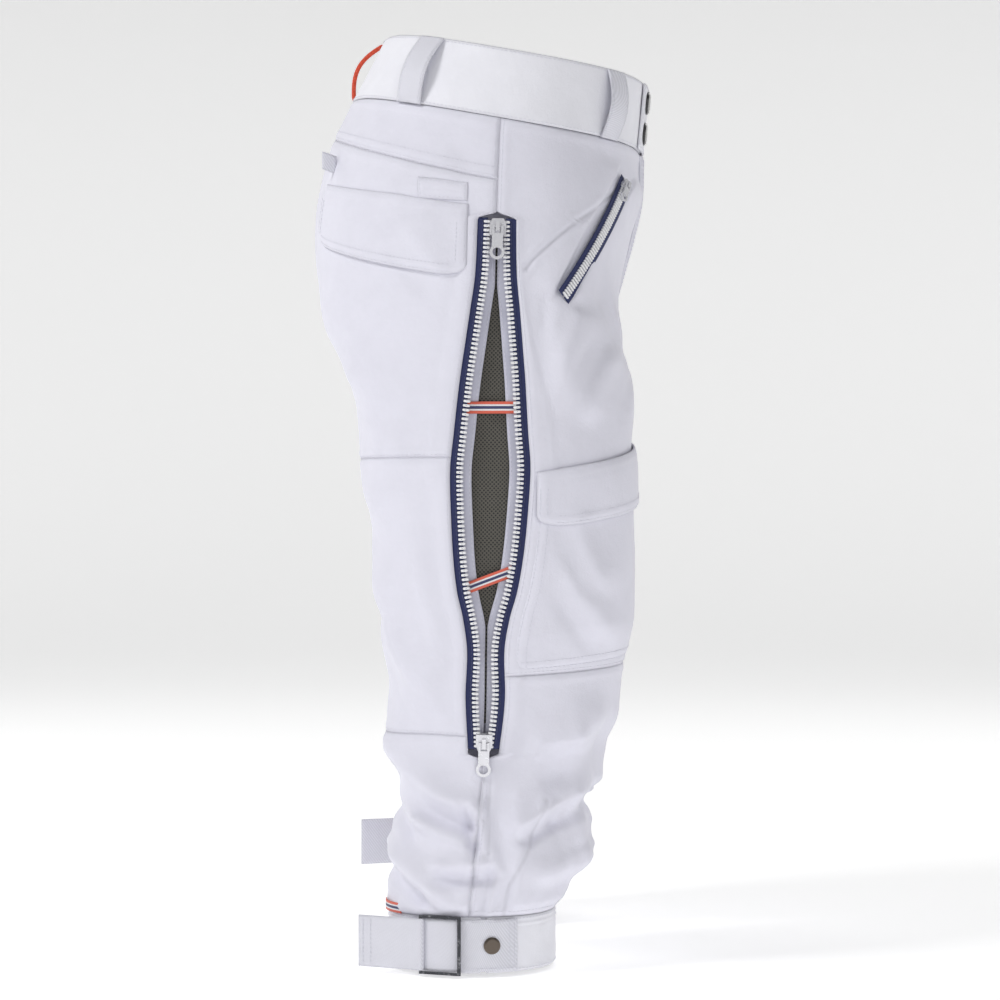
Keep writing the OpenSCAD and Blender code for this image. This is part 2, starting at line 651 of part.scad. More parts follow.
module vent_top_puller_right() {
    vent_top_puller(RIGHT);
}
module vent_top_puller_left() {
    vent_top_puller(LEFT);
}
module vent_bottom_slider_right() {
    vent_bottom_slider(RIGHT);
}
module vent_bottom_slider_left() {
    vent_bottom_slider(LEFT);
}
module vent_bottom_puller_right() {
    vent_bottom_puller(RIGHT);
}
module vent_bottom_puller_left() {
    vent_bottom_puller(LEFT);
}
module hand_pocket_slider_right() {
    hand_pocket_slider(RIGHT);
}
module hand_pocket_slider_left() {
    hand_pocket_slider(LEFT);
}
module hand_pocket_puller_right() {
    hand_pocket_puller(RIGHT);
}
module hand_pocket_puller_left() {
    hand_pocket_puller(LEFT);
}
module back_flap_right() {
    color("ghostwhite") back_flap(RIGHT);
}
module back_flap_left() {
    color("ghostwhite") back_flap(LEFT);
}
module cargo_pocket_right() {
    color("ghostwhite") cargo_pocket(RIGHT);
}
module cargo_pocket_left() {
    color("ghostwhite") cargo_pocket(LEFT);
}
module cargo_flap_right() {
    color("whitesmoke") cargo_flap(RIGHT);
}
module cargo_flap_left() {
    color("whitesmoke") cargo_flap(LEFT);
}
module cuff_band_right() {
    color("whitesmoke") cuff_band(RIGHT);
}
module cuff_band_left() {
    color("whitesmoke") cuff_band(LEFT);
}
module cuff_strap_right() {
    color("white") cuff_strap(RIGHT);
}
module cuff_strap_left() {
    color("white") cuff_strap(LEFT);
}
module strap_tail_right() {
    color("white") strap_tail(RIGHT);
}
module strap_tail_left() {
    color("white") strap_tail(LEFT);
}
module cuff_buckle_right() {
    color("slategray") cuff_buckle(RIGHT);
}
module cuff_buckle_left() {
    color("slategray") cuff_buckle(LEFT);
}

waistband();
waistband_lining();
belt_loops();
back_ribbon_loop();
waist_tab();
waist_snap_caps();
waist_snap_studs();
fly_facing();
fly_chain();
fly_slider();
fly_puller();
yoke_right();
yoke_left();
seat_panel_right();
seat_panel_left();
back_thigh_panel_right();
back_thigh_panel_left();
calf_panel_right();
calf_panel_left();
front_thigh_panel_right();
front_thigh_panel_left();
shin_panel_right();
shin_panel_left();
vent_tapes();
vent_teeth();
vent_facings();
vent_mesh();
vent_ribbons();
vent_top_slider_right();
vent_top_puller_right();
vent_bottom_slider_right();
vent_bottom_puller_right();
vent_top_slider_left();
vent_top_puller_left();
vent_bottom_slider_left();
vent_bottom_puller_left();
hand_pocket_chains();
hand_pocket_bags();
hand_pocket_slider_right();
hand_pocket_puller_right();
hand_pocket_slider_left();
hand_pocket_puller_left();
back_flap_right();
back_flap_left();
back_pocket_tabs();
cargo_pocket_right();
cargo_pocket_left();
cargo_flap_right();
cargo_flap_left();
cuff_band_right();
cuff_band_left();
cuff_strap_right();
cuff_strap_left();
strap_tail_right();
strap_tail_left();
cuff_buckle_right();
cuff_buckle_left();
cuff_snap_caps();
cuff_snap_studs();
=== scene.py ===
"""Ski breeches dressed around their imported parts: shell panels, vents, pockets, waistband, cuffs and finishes.

Lengths are worked out in millimetres in the row's frame and become metres when a mesh is made.
"""

import logging
import math
from dataclasses import dataclass, field
from enum import Enum
from typing import Callable, Sequence

import bpy
import numpy as np
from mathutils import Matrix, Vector


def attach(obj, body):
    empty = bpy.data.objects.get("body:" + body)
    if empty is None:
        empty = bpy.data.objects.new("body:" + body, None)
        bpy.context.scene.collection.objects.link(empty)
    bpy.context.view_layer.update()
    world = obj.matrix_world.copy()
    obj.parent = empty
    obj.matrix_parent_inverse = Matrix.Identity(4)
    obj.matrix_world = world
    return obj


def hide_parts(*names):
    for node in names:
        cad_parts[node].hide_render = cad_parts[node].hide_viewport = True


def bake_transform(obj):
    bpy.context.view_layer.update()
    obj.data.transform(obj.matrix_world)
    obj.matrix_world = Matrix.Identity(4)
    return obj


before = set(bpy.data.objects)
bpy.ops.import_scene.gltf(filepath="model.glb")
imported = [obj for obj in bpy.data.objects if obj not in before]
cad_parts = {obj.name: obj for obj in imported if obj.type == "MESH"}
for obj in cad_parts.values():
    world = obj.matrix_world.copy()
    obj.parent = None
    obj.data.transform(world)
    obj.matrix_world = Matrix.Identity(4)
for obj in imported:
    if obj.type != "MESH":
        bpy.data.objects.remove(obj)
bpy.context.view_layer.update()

LOG = logging.getLogger("ski_breeches")
Array = np.ndarray
Line = Callable[[Array], Array]
SHELL = "shell"


class Side(Enum):
    """The wearer's right and left; the value is the sign of X."""

    RIGHT = -1
    LEFT = 1

    @property
    def word(self) -> str:
        """The side's name as the nodes write it."""
        return self.name.lower()

    def mirrored(self, p: Array) -> Array:
        """Points given for the right side, put on this side."""
        return p * np.array([1.0 if self is Side.RIGHT else -1.0, 1.0, 1.0])


class Edge(Enum):
    """The four edges of a piece of cloth."""

    TOP = "top"
    BOTTOM = "bottom"
    NEAR = "near"
    FAR = "far"


# ---------------------------------------------------------------- arithmetic
def ease(t: Array) -> Array:
    """A smooth step: three squares less two cubes of t, held between 0 and 1."""
    c = np.clip(t, 0.0, 1.0)
    return c * c * (3 - 2 * c)


def bell(d: Array, width: float) -> Array:
    """A bell curve of a distance, with the width at which it has fallen to a third."""
    return np.exp(-((d / width) ** 2))


def unit(v: Array) -> Array:
    """Vectors along the last axis, each divided by its length."""
    return v / np.maximum(np.linalg.norm(v, axis=-1, keepdims=True), 1e-9)


def smooth_curve(table: Array, z: Array, column: int) -> Array:
    """A cubic curve through one column of a table, with each slope taken from the rows on both sides.

    Args:
        table: Rows whose first column rises or falls.
        z: Where the curve is wanted, in the first column's unit.
        column: Which column it follows.

    Returns:
        The curve's value at each z.
    """
    x, y = table[:, 0], table[:, column]
    sign = 1.0 if x[-1] > x[0] else -1.0
    i = np.clip(np.searchsorted(sign * x, sign * z, side="right") - 1, 0, len(x) - 2)
    after, before = np.minimum(np.arange(len(x)) + 1, len(x) - 1), np.maximum(np.arange(len(x)) - 1, 0)
    slope = (y[after] - y[before]) / (x[after] - x[before])
    h = x[i + 1] - x[i]
    s = (z - x[i]) / h
    s2, s3 = s * s, s * s * s
    return (
        (2 * s3 - 3 * s2 + 1) * y[i]
        + (s3 - 2 * s2 + s) * h * slope[i]
        + (3 * s2 - 2 * s3) * y[i + 1]
        + (s3 - s2) * h * slope[i + 1]
    )


def upright(count: int) -> Array:
    """The straight-up direction, once for each point of a path."""
    return np.tile(np.array([0.0, 0, 1.0]), (count, 1))


def on_first(first: bool, node: str) -> list[str]:
    """A CAD node that both sides share, given only to the side that is built first."""
    return [node] if first else []


# ---------------------------------------------------------------- the garment's form
@dataclass(frozen=True)
class Fold:
    """A soft ridge in the cloth between two places, as (mm across from the side seam, height)."""

    start: tuple[float, float]
    end: tuple[float, float]
    height: float
    width: float
    sharp: float = 0.5
    trough: float = 0.35

    def rise(self, a: Array, z: Array) -> Array:
        """The ridge's height: a bell across it, steeper on its lower side, that fades out at both ends.

        Args:
            a: Distance across from the side seam, towards the back.
            z: Height.

        Returns:
            How far it lifts the cloth.
        """
        (a0, z0), (a1, z1) = self.start, self.end
        da, dz = a1 - a0, z1 - z0
        length = math.hypot(da, dz)
        along = ((a - a0) * da + (z - z0) * dz) / length
        across = ((a - a0) * dz - (z - z0) * da) / length
        across = across + 0.12 * length * np.sin(math.pi * np.clip(along / length, 0, 1)) * self.sharp * 0.5
        width = self.width * (1 + self.sharp * np.tanh(across / self.width))
        taper = ease(along / (0.35 * length) + 0.35) * ease((length - along) / (0.35 * length) + 0.35)
        return self.height * (
            np.exp(-((across / width) ** 2)) - self.trough * np.exp(
                -(((across + 1.9 * self.width) / width) ** 2)
            )
        ) * taper


@dataclass(frozen=True)
class Form:
    """The breeches' outer shape: rounded outlines stacked down the body, split at the crotch into two legs."""

    crotch: float = -260.0
    split: float = -28.0
    tilt: float = 0.177
    arch: float = 9.0
    tilt_from: float = -150.0
    tilt_run: float = 122.0
    squareness: float = 0.889
    lift: float = 38.0
    lift_from: float = -520.0
    lift_run: float = 120.0
    hem: float = -641.0
    girth: float = 520.0
    stations: tuple[tuple[float, ...], ...] = (
        (40, 155, 0, -115.5, 92, -10), (27, 157, 0, -114.5, 99, -8), (-28, 165, 0, -109.5, 126, 0),
        (-70, 174, 0, -108.5, 146, 2), (-105, 180.5, 0, -101.5, 153, 3), (-165, 188.5, 0, -92.5, 144, 4),
        (-228, 194, 0, -98, 120, 6), (-260, 195.5, 0, -101, 115, 7), (-310, 196.5, 9, -102, 108, 8),
        (-355, 195.7, 16, -99.5, 98, 9), (-420, 192, 24, -96, 96, 11), (-480, 185.5, 34, -88.5, 87, 12),
        (-517, 180, 38, -78.5, 85.5, 13.5), (-545, 181, 40, -67, 84, 15), (-576, 186, 42, -66, 87.5, 18),
        (-607, 188, 46, -62, 92, 21), (-641, 183, 53, -40.5, 89.5, 24.5),
    )

    def column(self, z: Array, k: int) -> Array:
        """One of the outlines' measures at a height: 1 outer, 2 inner, 3 front, 4 back, 5 side seam."""
        return smooth_curve(np.array(self.stations, float), z, k)

    def bent(self, v: Array) -> Array:
        """A sine or cosine made slightly flatter, which squares the outline a little."""
        return np.sign(v) * np.abs(v) ** self.squareness

    def start_angle(self, z: Array) -> Array:
        """The angle at which the outline starts: at the centre front above, at the inseam below the crotch."""
        closing = np.clip((self.split - z) / (self.split - self.crotch), 0, 1)
        return math.pi / 2 * (1 - closing**2)

    def point(self, side: Side, u: Array, z: Array) -> Array:
        """The form at a share round the side and a height.

        Args:
            side: Which side of the wearer.
            u: 0 at the centre front or inseam, 0.5 at the side seam, 1 at the centre back or inseam.
            z: Height before the waist's tilt.

        Returns:
            Points, with their coordinates along the last axis.
        """
        u, z = np.broadcast_arrays(np.asarray(u, float), np.asarray(z, float))
        start = self.start_angle(z)
        turn = start + u * (2 * math.pi - 2 * start)
        closing = np.clip((self.split - z) / (self.split - self.crotch), 0, 1)
        outer = self.column(z, 1)
        legs = z < self.crotch
        inner = np.where(legs, self.column(z, 2), 0.0)
        reach_in = np.where(legs, (outer - inner) / 2, outer + (outer / 2 - outer) * closing)
        middle = np.where(legs, -(outer + inner) / 2, -reach_in * self.bent(np.cos(start)))
        seam = self.column(z, 5)
        side_reach = np.where(np.cos(turn) > 0, reach_in, outer + middle)
        depth = np.where(np.sin(turn) > 0, seam - self.column(z, 3), self.column(z, 4) - seam)
        x = middle + side_reach * self.bent(np.cos(turn))
        y = seam - depth * self.bent(np.sin(turn))
        up = ease((z - self.tilt_from) / self.tilt_run) * (self.tilt * y + self.arch * (1 - (x / outer) ** 2))
        if side is Side.LEFT:
            up = up + self.lift * ease((self.lift_from - z) / self.lift_run)
        return np.stack([-side.value * x, y, z + up], -1)

    def normal(self, side: Side, u: Array, z: Array) -> Array:
        """The outward direction: the cross product of the steps round the side and up it."""
        du = self.point(side, np.minimum(u + 0.004, 1), z) - self.point(side, np.maximum(u - 0.004, 0), z)
        dz = self.point(side, u, z + 1.5) - self.point(side, u, z - 1.5)
        return unit(np.cross(du, dz)) * side.value

    def around(self, angle: Array, z: Array, off: Array = 0.0) -> tuple[Array, Array]:
        """Points and outward directions all round the trunk.

        Args:
            angle: Degrees: 0 centre front, 90 left side, 180 back, 270 right side.
            z: Height.
            off: Distance off the form.

        Returns:
            The points and the outward directions.
        """
        angle, z, off = np.broadcast_arrays(
            np.asarray(angle, float) % 360, np.asarray(z, float), np.asarray(off, float)
        )
        left = angle <= 180
        u = np.where(left, angle / 180, (360 - angle) / 180)
        ways = [(self.point(side, u, z), self.normal(side, u, z)) for side in (Side.LEFT, Side.RIGHT)]
        p, n = (np.where(left[..., None], a, b) for a, b in zip(*ways))
        return p + n * off[..., None], n

    def share_at(self, z: Array, y: Array) -> Array:
        """The share u at which the form has depth y, near the side seam."""
        seam = self.column(z, 5)
        depth = np.where(y < seam, seam - self.column(z, 3), self.column(z, 4) - seam)
        lean = np.arcsin(np.minimum(1, np.abs(y - seam) / depth) ** (1 / self.squareness))
        start = self.start_angle(z)
        return (np.where(y < seam, math.pi - lean, math.pi + lean) - start) / (2 * math.pi - 2 * start)

    def share_beside(self, z: Array, v: Array) -> Array:
        """The share u at a distance v behind the side seam."""
        return self.share_at(z, self.column(z, 5) + v)


FORM = Form()


@dataclass(frozen=True)
class Vent:
    """A side vent's line: its ends, and how far apart its rows of teeth stand down its length."""

    top: float = -105.0
    bottom: float = -515.0
    tooth_w: float = 5.2
    tape_w: float = 8.5
    cover: float = 3.7
    gaps: tuple[tuple[float, float], ...] = (
        (0, 4.6), (0.11, 5.8), (0.18, 9), (0.25, 12.2), (0.31, 14.9), (0.41, 18.3), (0.47, 20.4), (0.54, 19.5),
        (0.63, 16.8), (0.7, 12.8), (0.75, 7.7), (0.81, 4.2), (0.9, 5), (1, 1.8),
    )

    def gap(self, z: Array) -> Array:
        """Half the opening between the rows at a height."""
        share = np.clip((self.top - z) / (self.top - self.bottom), 0, 1)
        return smooth_curve(np.array(self.gaps, float), share, 1)

    def edge(self, z: Array) -> Array:
        """Where the shell begins beside the tapes; it closes just past both ends."""
        return self.full(z) * ease((-102 - z) / 6) * ease((z + 522) / 6)

    def full(self, z: Array) -> Array:
        """The outer edge of the tapes."""
        return self.gap(z) + self.tooth_w + self.tape_w

    def lip(self, z: Array) -> Array:
        """The shell's own edge, which lies over the outer part of the tapes."""
        return self.edge(z) * (1 - self.cover / self.full(z))


VENT = Vent()


@dataclass(frozen=True)
class Arc:
    """A zip's arc through three points, with its own outward, along and sideways directions."""

    centre: Array
    out: Array
    along: Array
    across: Array
    radius: float
    half: float

    @staticmethod
    def through(p: Array, q: Array, r: Array) -> "Arc":
        """The circle through three points, from the standard circumcentre formula."""
        a, b = p - q, r - q
        c = np.cross(a, b)
        centre = q + np.cross((a @ a) * b - (b @ b) * a, c) / (2 * (c @ c))
        out = unit(q - centre)
        across = unit(np.cross(out, unit(p - r)))
        along = np.cross(across, out)
        return Arc(
            centre, out, along, across, float(np.linalg.norm(p - centre)),
            math.acos(float(unit(p - centre) @ out))
        )

    def place(self, angle: Array, rise: Array, sideways: Array) -> Array:
        """Points at angles of the arc, raised outward from it and moved sideways."""
        angle = np.asarray(angle, float)[..., None]
        out = self.out * np.cos(angle) + self.along * np.sin(angle)
        return self.centre + out * (
            self.radius + np.asarray(rise, float)[..., None]
        ) + self.across * np.asarray(sideways, float)[..., None]


@dataclass(frozen=True)
class HandZip:
    """The hand pocket's zip line on the right side, from its top to its lower end as (depth, height)."""

    top: tuple[float, float] = (-93.0, -62.0)
    low: tuple[float, float] = (-46.0, -168.0)
    stand: float = 5.0

    def spot(self, e: Sequence[float], off: float) -> Array:
        """A place on the form, raised off it."""
        z = np.array(float(e[1]))
        u = FORM.share_at(z, np.array(float(e[0])))
        return FORM.point(Side.RIGHT, u, z) + off * FORM.normal(Side.RIGHT, u, z)

    def arc(self) -> Arc:
        """The zip's arc, standing over the form at its middle."""
        mid = ((self.top[0] + self.low[0]) / 2, (self.top[1] + self.low[1]) / 2)
        p, r, q = (self.spot(e, self.stand) for e in (self.top, self.low, mid))
        chord, out = (p + r) / 2, unit(self.spot(mid, 1) - self.spot(mid, 0))
        return Arc.through(p, chord + out * ((q - chord) @ out), r)

    def distance(self, y: Array, z: Array) -> tuple[Array, Array]:
        """Distance across the zip line and along it from its top, seen from the side."""
        (y0, z0), (y1, z1) = self.top, self.low
        length = math.hypot(y1 - y0, z1 - z0)
        dy, dz = (y1 - y0) / length, (z1 - z0) / length
        return (y - y0) * dz - (z - z0) * dy, (y - y0) * dy + (z - z0) * dz


HAND_ZIP = HandZip()


@dataclass(frozen=True)
class Drape:
    """How the cloth folds: named ridges, seams within a panel, a slow swell and gathers above the cuffs."""

    ridges: tuple[Fold, ...] = (
        # seat and back of the thigh
        Fold((190, -170), (60, -250), 3.0, 16), Fold((215, -235), (70, -330), 3.2, 18),
        Fold((120, -330), (60, -470), 2.6, 15), Fold((200, -360), (90, -400), 2.4, 13),
        Fold((160, -470), (75, -520), 3.2, 11), Fold((225, -500), (110, -535), 3.0, 11),
        # hip and front of the thigh
        Fold((-60, -150), (-40, -260), 2.2, 14), Fold((-200, -215), (-90, -270), 3.0, 14),
        Fold((-235, -245), (-150, -330), 2.8, 14), Fold((-120, -110), (-150, -200), 1.8, 12),
        # knee and shin
        Fold((-60, -480), (-110, -620), 3.6, 13), Fold((-120, -470), (-150, -600), 3.0, 14),
        Fold((-25, -545), (-40, -640), 2.8, 8), Fold((-190, -500), (-235, -600), 3.0, 13),
        # inside of the calf
        Fold((-200, -590), (-70, -612), 2.6, 9), Fold((-215, -560), (-120, -585), 2.2, 9),
        Fold((215, -560), (150, -600), 3.0, 10),
    )
    # ridges given by their depth, so that they run on round the back and the front of the leg
    creases: tuple[Fold, ...] = (
        Fold((92, -508), (49, -546), 5.0, 10, 0.3, 0.9), Fold((58, -545), (12, -560), 4.6, 8, 0.3, 1.0),
        Fold((20, -552), (9, -592), 3.0, 5, 0.2, 1.0), Fold((84, -538), (54, -574), 4.2, 8, 0.3, 0.8),
        Fold((54, -600), (4, -598), 3.6, 6.5, 0.3, 1.0), Fold((88, -592), (38, -627), 4.4, 8, 0.3, 0.9),
        Fold((70, -566), (24, -584), 2.6, 9), Fold((60, -628), (20, -636), 2.2, 6),
        Fold((-4, -574), (-38, -556), 3.2, 7, 0.3, 0.9), Fold((-30, -560), (-78, -532), 3.4, 8, 0.3, 0.9),
        Fold((-18, -520), (-80, -482), 3.0, 12, 0.3, 0.6), Fold((-20, -505), (-60, -500), 2.0, 9),
        Fold((-24, -612), (-70, -590), 2.6, 8, 0.3, 0.7), Fold((-8, -634), (-50, -626), 2.0, 6),
        # thigh and pocket
        Fold((-44, -366), (-84, -432), 2.4, 9, 0.3, 0.6), Fold((-52, -330), (-78, -392), 2.2, 8, 0.3, 0.6),
        Fold((112, -205), (80, -300), 3.0, 17), Fold((92, -300), (82, -410), 2.6, 15),
        Fold((60, -350), (40, -440), 2.2, 14), Fold((84, -420), (40, -490), 2.8, 13),
        Fold((-66, -170), (-40, -250), 2.6, 13), Fold((-90, -205), (-64, -262), 2.4, 11),
        Fold((92, -96), (30, -70), 1.6, 9), Fold((70, -112), (32, -158), 1.6, 12),
    )
    # lines where the cloth is seamed within a panel, as (depth, height)
    seams: tuple[tuple[tuple[float, float], ...], ...] = (
        ((-88, -74), (-78, -84), (-60, -102), (-24, -139), (-19, -146)),
        ((9.0, -528), (9.2, -560), (9.6, -592)),
        ((-32, -553), (-27, -570), (-22, -586), (-14, -602), (-6, -617), (-3, -630), (-1, -646)),
    )
    # a narrow lip of cloth above the cuff's slit
    lips: tuple[Fold, ...] = (
        Fold((6, -588), (1, -608), 2.2, 3.0, 0.2, 0.8), Fold((1, -604), (11, -644), 2.4, 3.2, 0.2, 0.8),
    )

    def seam_distance(self, u: Array, y: Array, z: Array) -> Array:
        """Distance to the nearest seam within a panel, on the outer side of the leg."""
        near = np.full(np.broadcast(y, z).shape, 99.0)
        for line in self.seams:
            for (y0, z0), (y1, z1) in zip(line[:-1], line[1:]):
                dy, dz = y1 - y0, z1 - z0
                share = np.clip(((y - y0) * dy + (z - z0) * dz) / (dy * dy + dz * dz), 0, 1)
                near = np.minimum(near, np.hypot(y - y0 - share * dy, z - z0 - share * dz))
        return near + 99 * (1 - self.outer_side(u))

    def outer_side(self, u: Array) -> Array:
        """One on the outer side of the leg, falling to nothing towards its inner side."""
        return ease((np.cos(math.pi * (2 * u - 1)) + 0.75) / 0.5)

    def rise(self, side: Side, u: Array, z: Array) -> Array:
        """How far the folds lift the cloth off the form.

        The ridges are added to a swell of three slow waves; both fade out at the waist, beside the vent,
        under the hand pocket's zip and at the hem.
        """
        a = (u - 0.5) * FORM.girth
        shift = 0.0 if side is Side.RIGHT else 9.0
        total = np.zeros(np.broadcast(a, z).shape)
        for i, fold in enumerate(self.ridges):
            turn = 1.0 if side is Side.RIGHT else 0.82 + 0.3 * math.sin(2.3 * i)
            total = total + 1.3 * turn * fold.rise(a - shift * math.sin(i), z + shift * math.cos(1.7 * i))
        y = self.depth(u, z)
        for fold in self.creases:
            total = total + 1.7 * fold.rise(y, z)
        swell = (
            1.1 * np.sin(a / 41 + z / 63 + 0.7 * side.value)
            + 0.7 * np.sin(a / 23 - z / 37 + 2.1)
            + 0.35 * np.sin(a / 13 + z / 17 + side.value)
        )
        hem = ease((-600 - z) / 40) * (
            0.9 * np.sin(a / 8.5 + 0.04 * z) + 0.5 * np.sin(a / 5.2 - 0.06 * z + 1.3)
        )
        beside = np.abs(a) - VENT.edge(z)
        calm = ease((-30 - z) / 45) * ease((z - FORM.hem) / 12)
        calm = calm * (0.12 + 0.88 * np.maximum(ease(beside / 24), ease((-530 - z) / 16)))
        across, along = HAND_ZIP.distance(y, z)
        zip_calm = 1 - (
            1 - ease((np.abs(across) - 12) / 22)
        ) * ease((along + 25) / 15) * ease((125 - along) / 15)
        zip_calm = np.where(u < 0.5, zip_calm, 1.0)
        low = ease((z + 645) / 10)
        lips = sum(fold.rise(y, z) for fold in self.lips) * self.outer_side(u)
        near = self.seam_distance(u, y, z)
        seamed = 0.6 * bell(near - 4.2, 2.8) - 1.1 * bell(near, 1.3)
        return (total + swell * 0.9 + hem) * calm * zip_calm * low + (seamed + lips) * low

    def depth(self, u: Array, z: Array) -> Array:
        """The depth y of the form at a share u."""
        return FORM.point(Side.RIGHT, u, z)[..., 1]


DRAPE = Drape()


def over_tape(z: Array, u: Array) -> Array:
    """How far the shell rises near the side vent, so that its edge lies on the tapes."""
    near = np.abs(u - 0.5) * FORM.girth - VENT.edge(z)
    return 1.0 * ease((3.0 - near) / 3.5) * ease(VENT.edge(z) / 6)


# ---------------------------------------------------------------- meshes
def make_mesh(name: str, points: Array, faces: Array, uv: Array | None = None,
              marks: dict[str, Array] | None = None) -> bpy.types.Object:
    """Puts arrays into a new mesh object at the origin.

    Args:
        name: The object's name.
        points: Vertices, in millimetres.
        faces: Four indices a face.
        uv: Two numbers for each vertex, if it has a map.
        marks: Named numbers for each vertex.

    Returns:
        The object, linked to the scene.
    """
    mesh = bpy.data.meshes.new(name)
    points = points.reshape(-1, 3) * 0.001
    faces = faces.reshape(-1, 4).astype(np.int32)
    mesh.vertices.add(len(points))
    mesh.vertices.foreach_set("co", points.astype(np.float32).ravel())
    mesh.loops.add(faces.size)
    mesh.loops.foreach_set("vertex_index", faces.ravel())
    mesh.polygons.add(len(faces))
    mesh.polygons.foreach_set("loop_start", np.arange(0, faces.size, 4, dtype=np.int32))
    mesh.polygons.foreach_set("use_smooth", np.full(len(faces), True))
    if uv is not None:
        layer = mesh.uv_layers.new(name="cloth")
        layer.data.foreach_set("uv", uv.reshape(-1, 2)[faces.ravel()].astype(np.float32).ravel())
    for key, values in (marks or {}).items():
        mesh.attributes.new(key, "FLOAT", "POINT").data.foreach_set("value", values.ravel().astype(np.float32))
    mesh.update()
    mesh.validate()
    made = bpy.data.objects.new(name, mesh)
    bpy.context.scene.collection.objects.link(made)
    return made


def facing_out(points: Array, faces: Array, outward: Array) -> Array:
    """Faces turned so that they look the way of the outward directions given for the points.

    Args:
        points: Vertices.
        faces: Four indices a face.
        outward: A direction at each vertex.

    Returns:
        The faces, all reversed where most of them looked inward.
    """
    p = points.reshape(-1, 3)
    across = np.cross(p[faces[:, 2]] - p[faces[:, 0]], p[faces[:, 3]] - p[faces[:, 1]])
    looks = np.einsum("fc,fc->f", across, outward.reshape(-1, 3)[faces[:, 0]])
    return faces if np.sum(looks) > 0 else faces[:, ::-1]


def grid_faces(rows: int, columns: int, closed: bool = False) -> Array:
    """Faces of a grid of points, row by row; a closed grid joins its last column to its first."""
    i, j = np.meshgrid(np.arange(rows - 1), np.arange(columns if closed else columns - 1), indexing="ij")
    k = (j + 1) % columns
    return np.stack(
        [i * columns + j, i * columns + k, (i + 1) * columns + k, (i + 1) * columns + j], -1
    ).reshape(-1, 4)


def repeated(points: Array, faces: Array, places: Array, axes: Array) -> tuple[Array, Array]:
    """One small shape put at many places.

    Args:
        points: The shape's vertices, as (n, 3).
        faces: Its faces, as (f, 4).
        places: Where each copy goes, as (k, 3).
        axes: The three directions of each copy, as (k, 3, 3), one to a row.

    Returns:
        All vertices and all faces.
    """
    all_points = places[:, None, :] + np.einsum("nc,kcd->knd", points, axes)
    all_faces = faces[None] + (np.arange(len(places)) * len(points))[:, None, None]
    return all_points.reshape(-1, 3), all_faces.reshape(-1, 4)


def rounded_block(
    size: Sequence[float], rows: int = 7, columns: int = 10, power: float = 0.42
) -> tuple[Array, Array]:
    """A block with soft edges: a ball whose sines and cosines are raised to a small power.

    Args:
        size: Its three lengths.
        rows: Rings from pole to pole.
        columns: Points in each ring.
        power: Nearer 0 is squarer.

    Returns:
        Its vertices and faces.
    """
    v = np.linspace(-math.pi / 2 + 0.02, math.pi / 2 - 0.02, rows)[:, None]
    w = (np.arange(columns) * 2 * math.pi / columns + math.pi / columns)[None, :]

    def flat(t: Array) -> Array:
        """A sine or cosine raised to the block's power, with its sign kept."""
        return np.sign(t) * np.abs(t) ** power

    x, y = flat(np.cos(v)) * flat(np.cos(w)), flat(np.cos(v)) * flat(np.sin(w))
    z = flat(np.sin(v)) + 0 * w
    return np.stack([x, y, z], -1).reshape(-1, 3) * np.array(size) / 2, grid_faces(rows, columns, True)


def resampled(path: Array, step: float, *others: Array) -> list[Array]:
    """A path's points at even steps of its length, with other arrays sampled at the same places."""
    length = np.concatenate([[0], np.cumsum(np.linalg.norm(np.diff(path, axis=0), axis=1))])
    at = np.arange(step / 2, length[-1], step)
    return [np.stack([np.interp(at, length, a[:, c]) for c in range(a.shape[1])], -1) for a in (path, *others)]


def thicken(piece: bpy.types.Object, thick: float, offset: float = -1.0) -> None:
    """Gives a sheet its thickness in millimetres, on its inner side unless the offset says otherwise."""
    solid = piece.modifiers.new("thickness", "SOLIDIFY")
    solid.thickness, solid.offset = thick * 0.001, offset


@dataclass
class Stitches:
    """Topstitching gathered along many paths and made as one mesh of short threads."""

    name: str
    body: str = SHELL
    length: float = 2.6
    pitch: float = 3.5
    thick: float = 0.5
    runs: list[tuple[Array, Array]] = field(default_factory=list)

    def run(self, path: Array, normals: Array) -> None:
        """Adds a line of stitching along a path, on the side that its normals point to."""
        self.runs.append((path, normals))

    def build(self) -> bpy.types.Object:
        """Makes the threads: a small rounded block at each step, turned along the path."""
        points, faces, made = [], [], 0
        block = rounded_block((self.thick, self.length, self.thick * 0.8), 5, 6, 0.9)
        for path, normals in self.runs:
            place, up = resampled(path, self.pitch, normals)
            if len(place) < 2:
                continue
            ahead = unit(np.gradient(place, axis=0))
            up = unit(up)
            side = unit(np.cross(ahead, up))
            p, f = repeated(*block, place + up * 0.16, np.stack([side, ahead, np.cross(side, ahead)], 1))
            points.append(p)
            faces.append(f + made)
            made += len(p)
        thread = make_mesh(self.name, np.concatenate(points), np.concatenate(faces))
        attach(thread, self.body)
        return thread


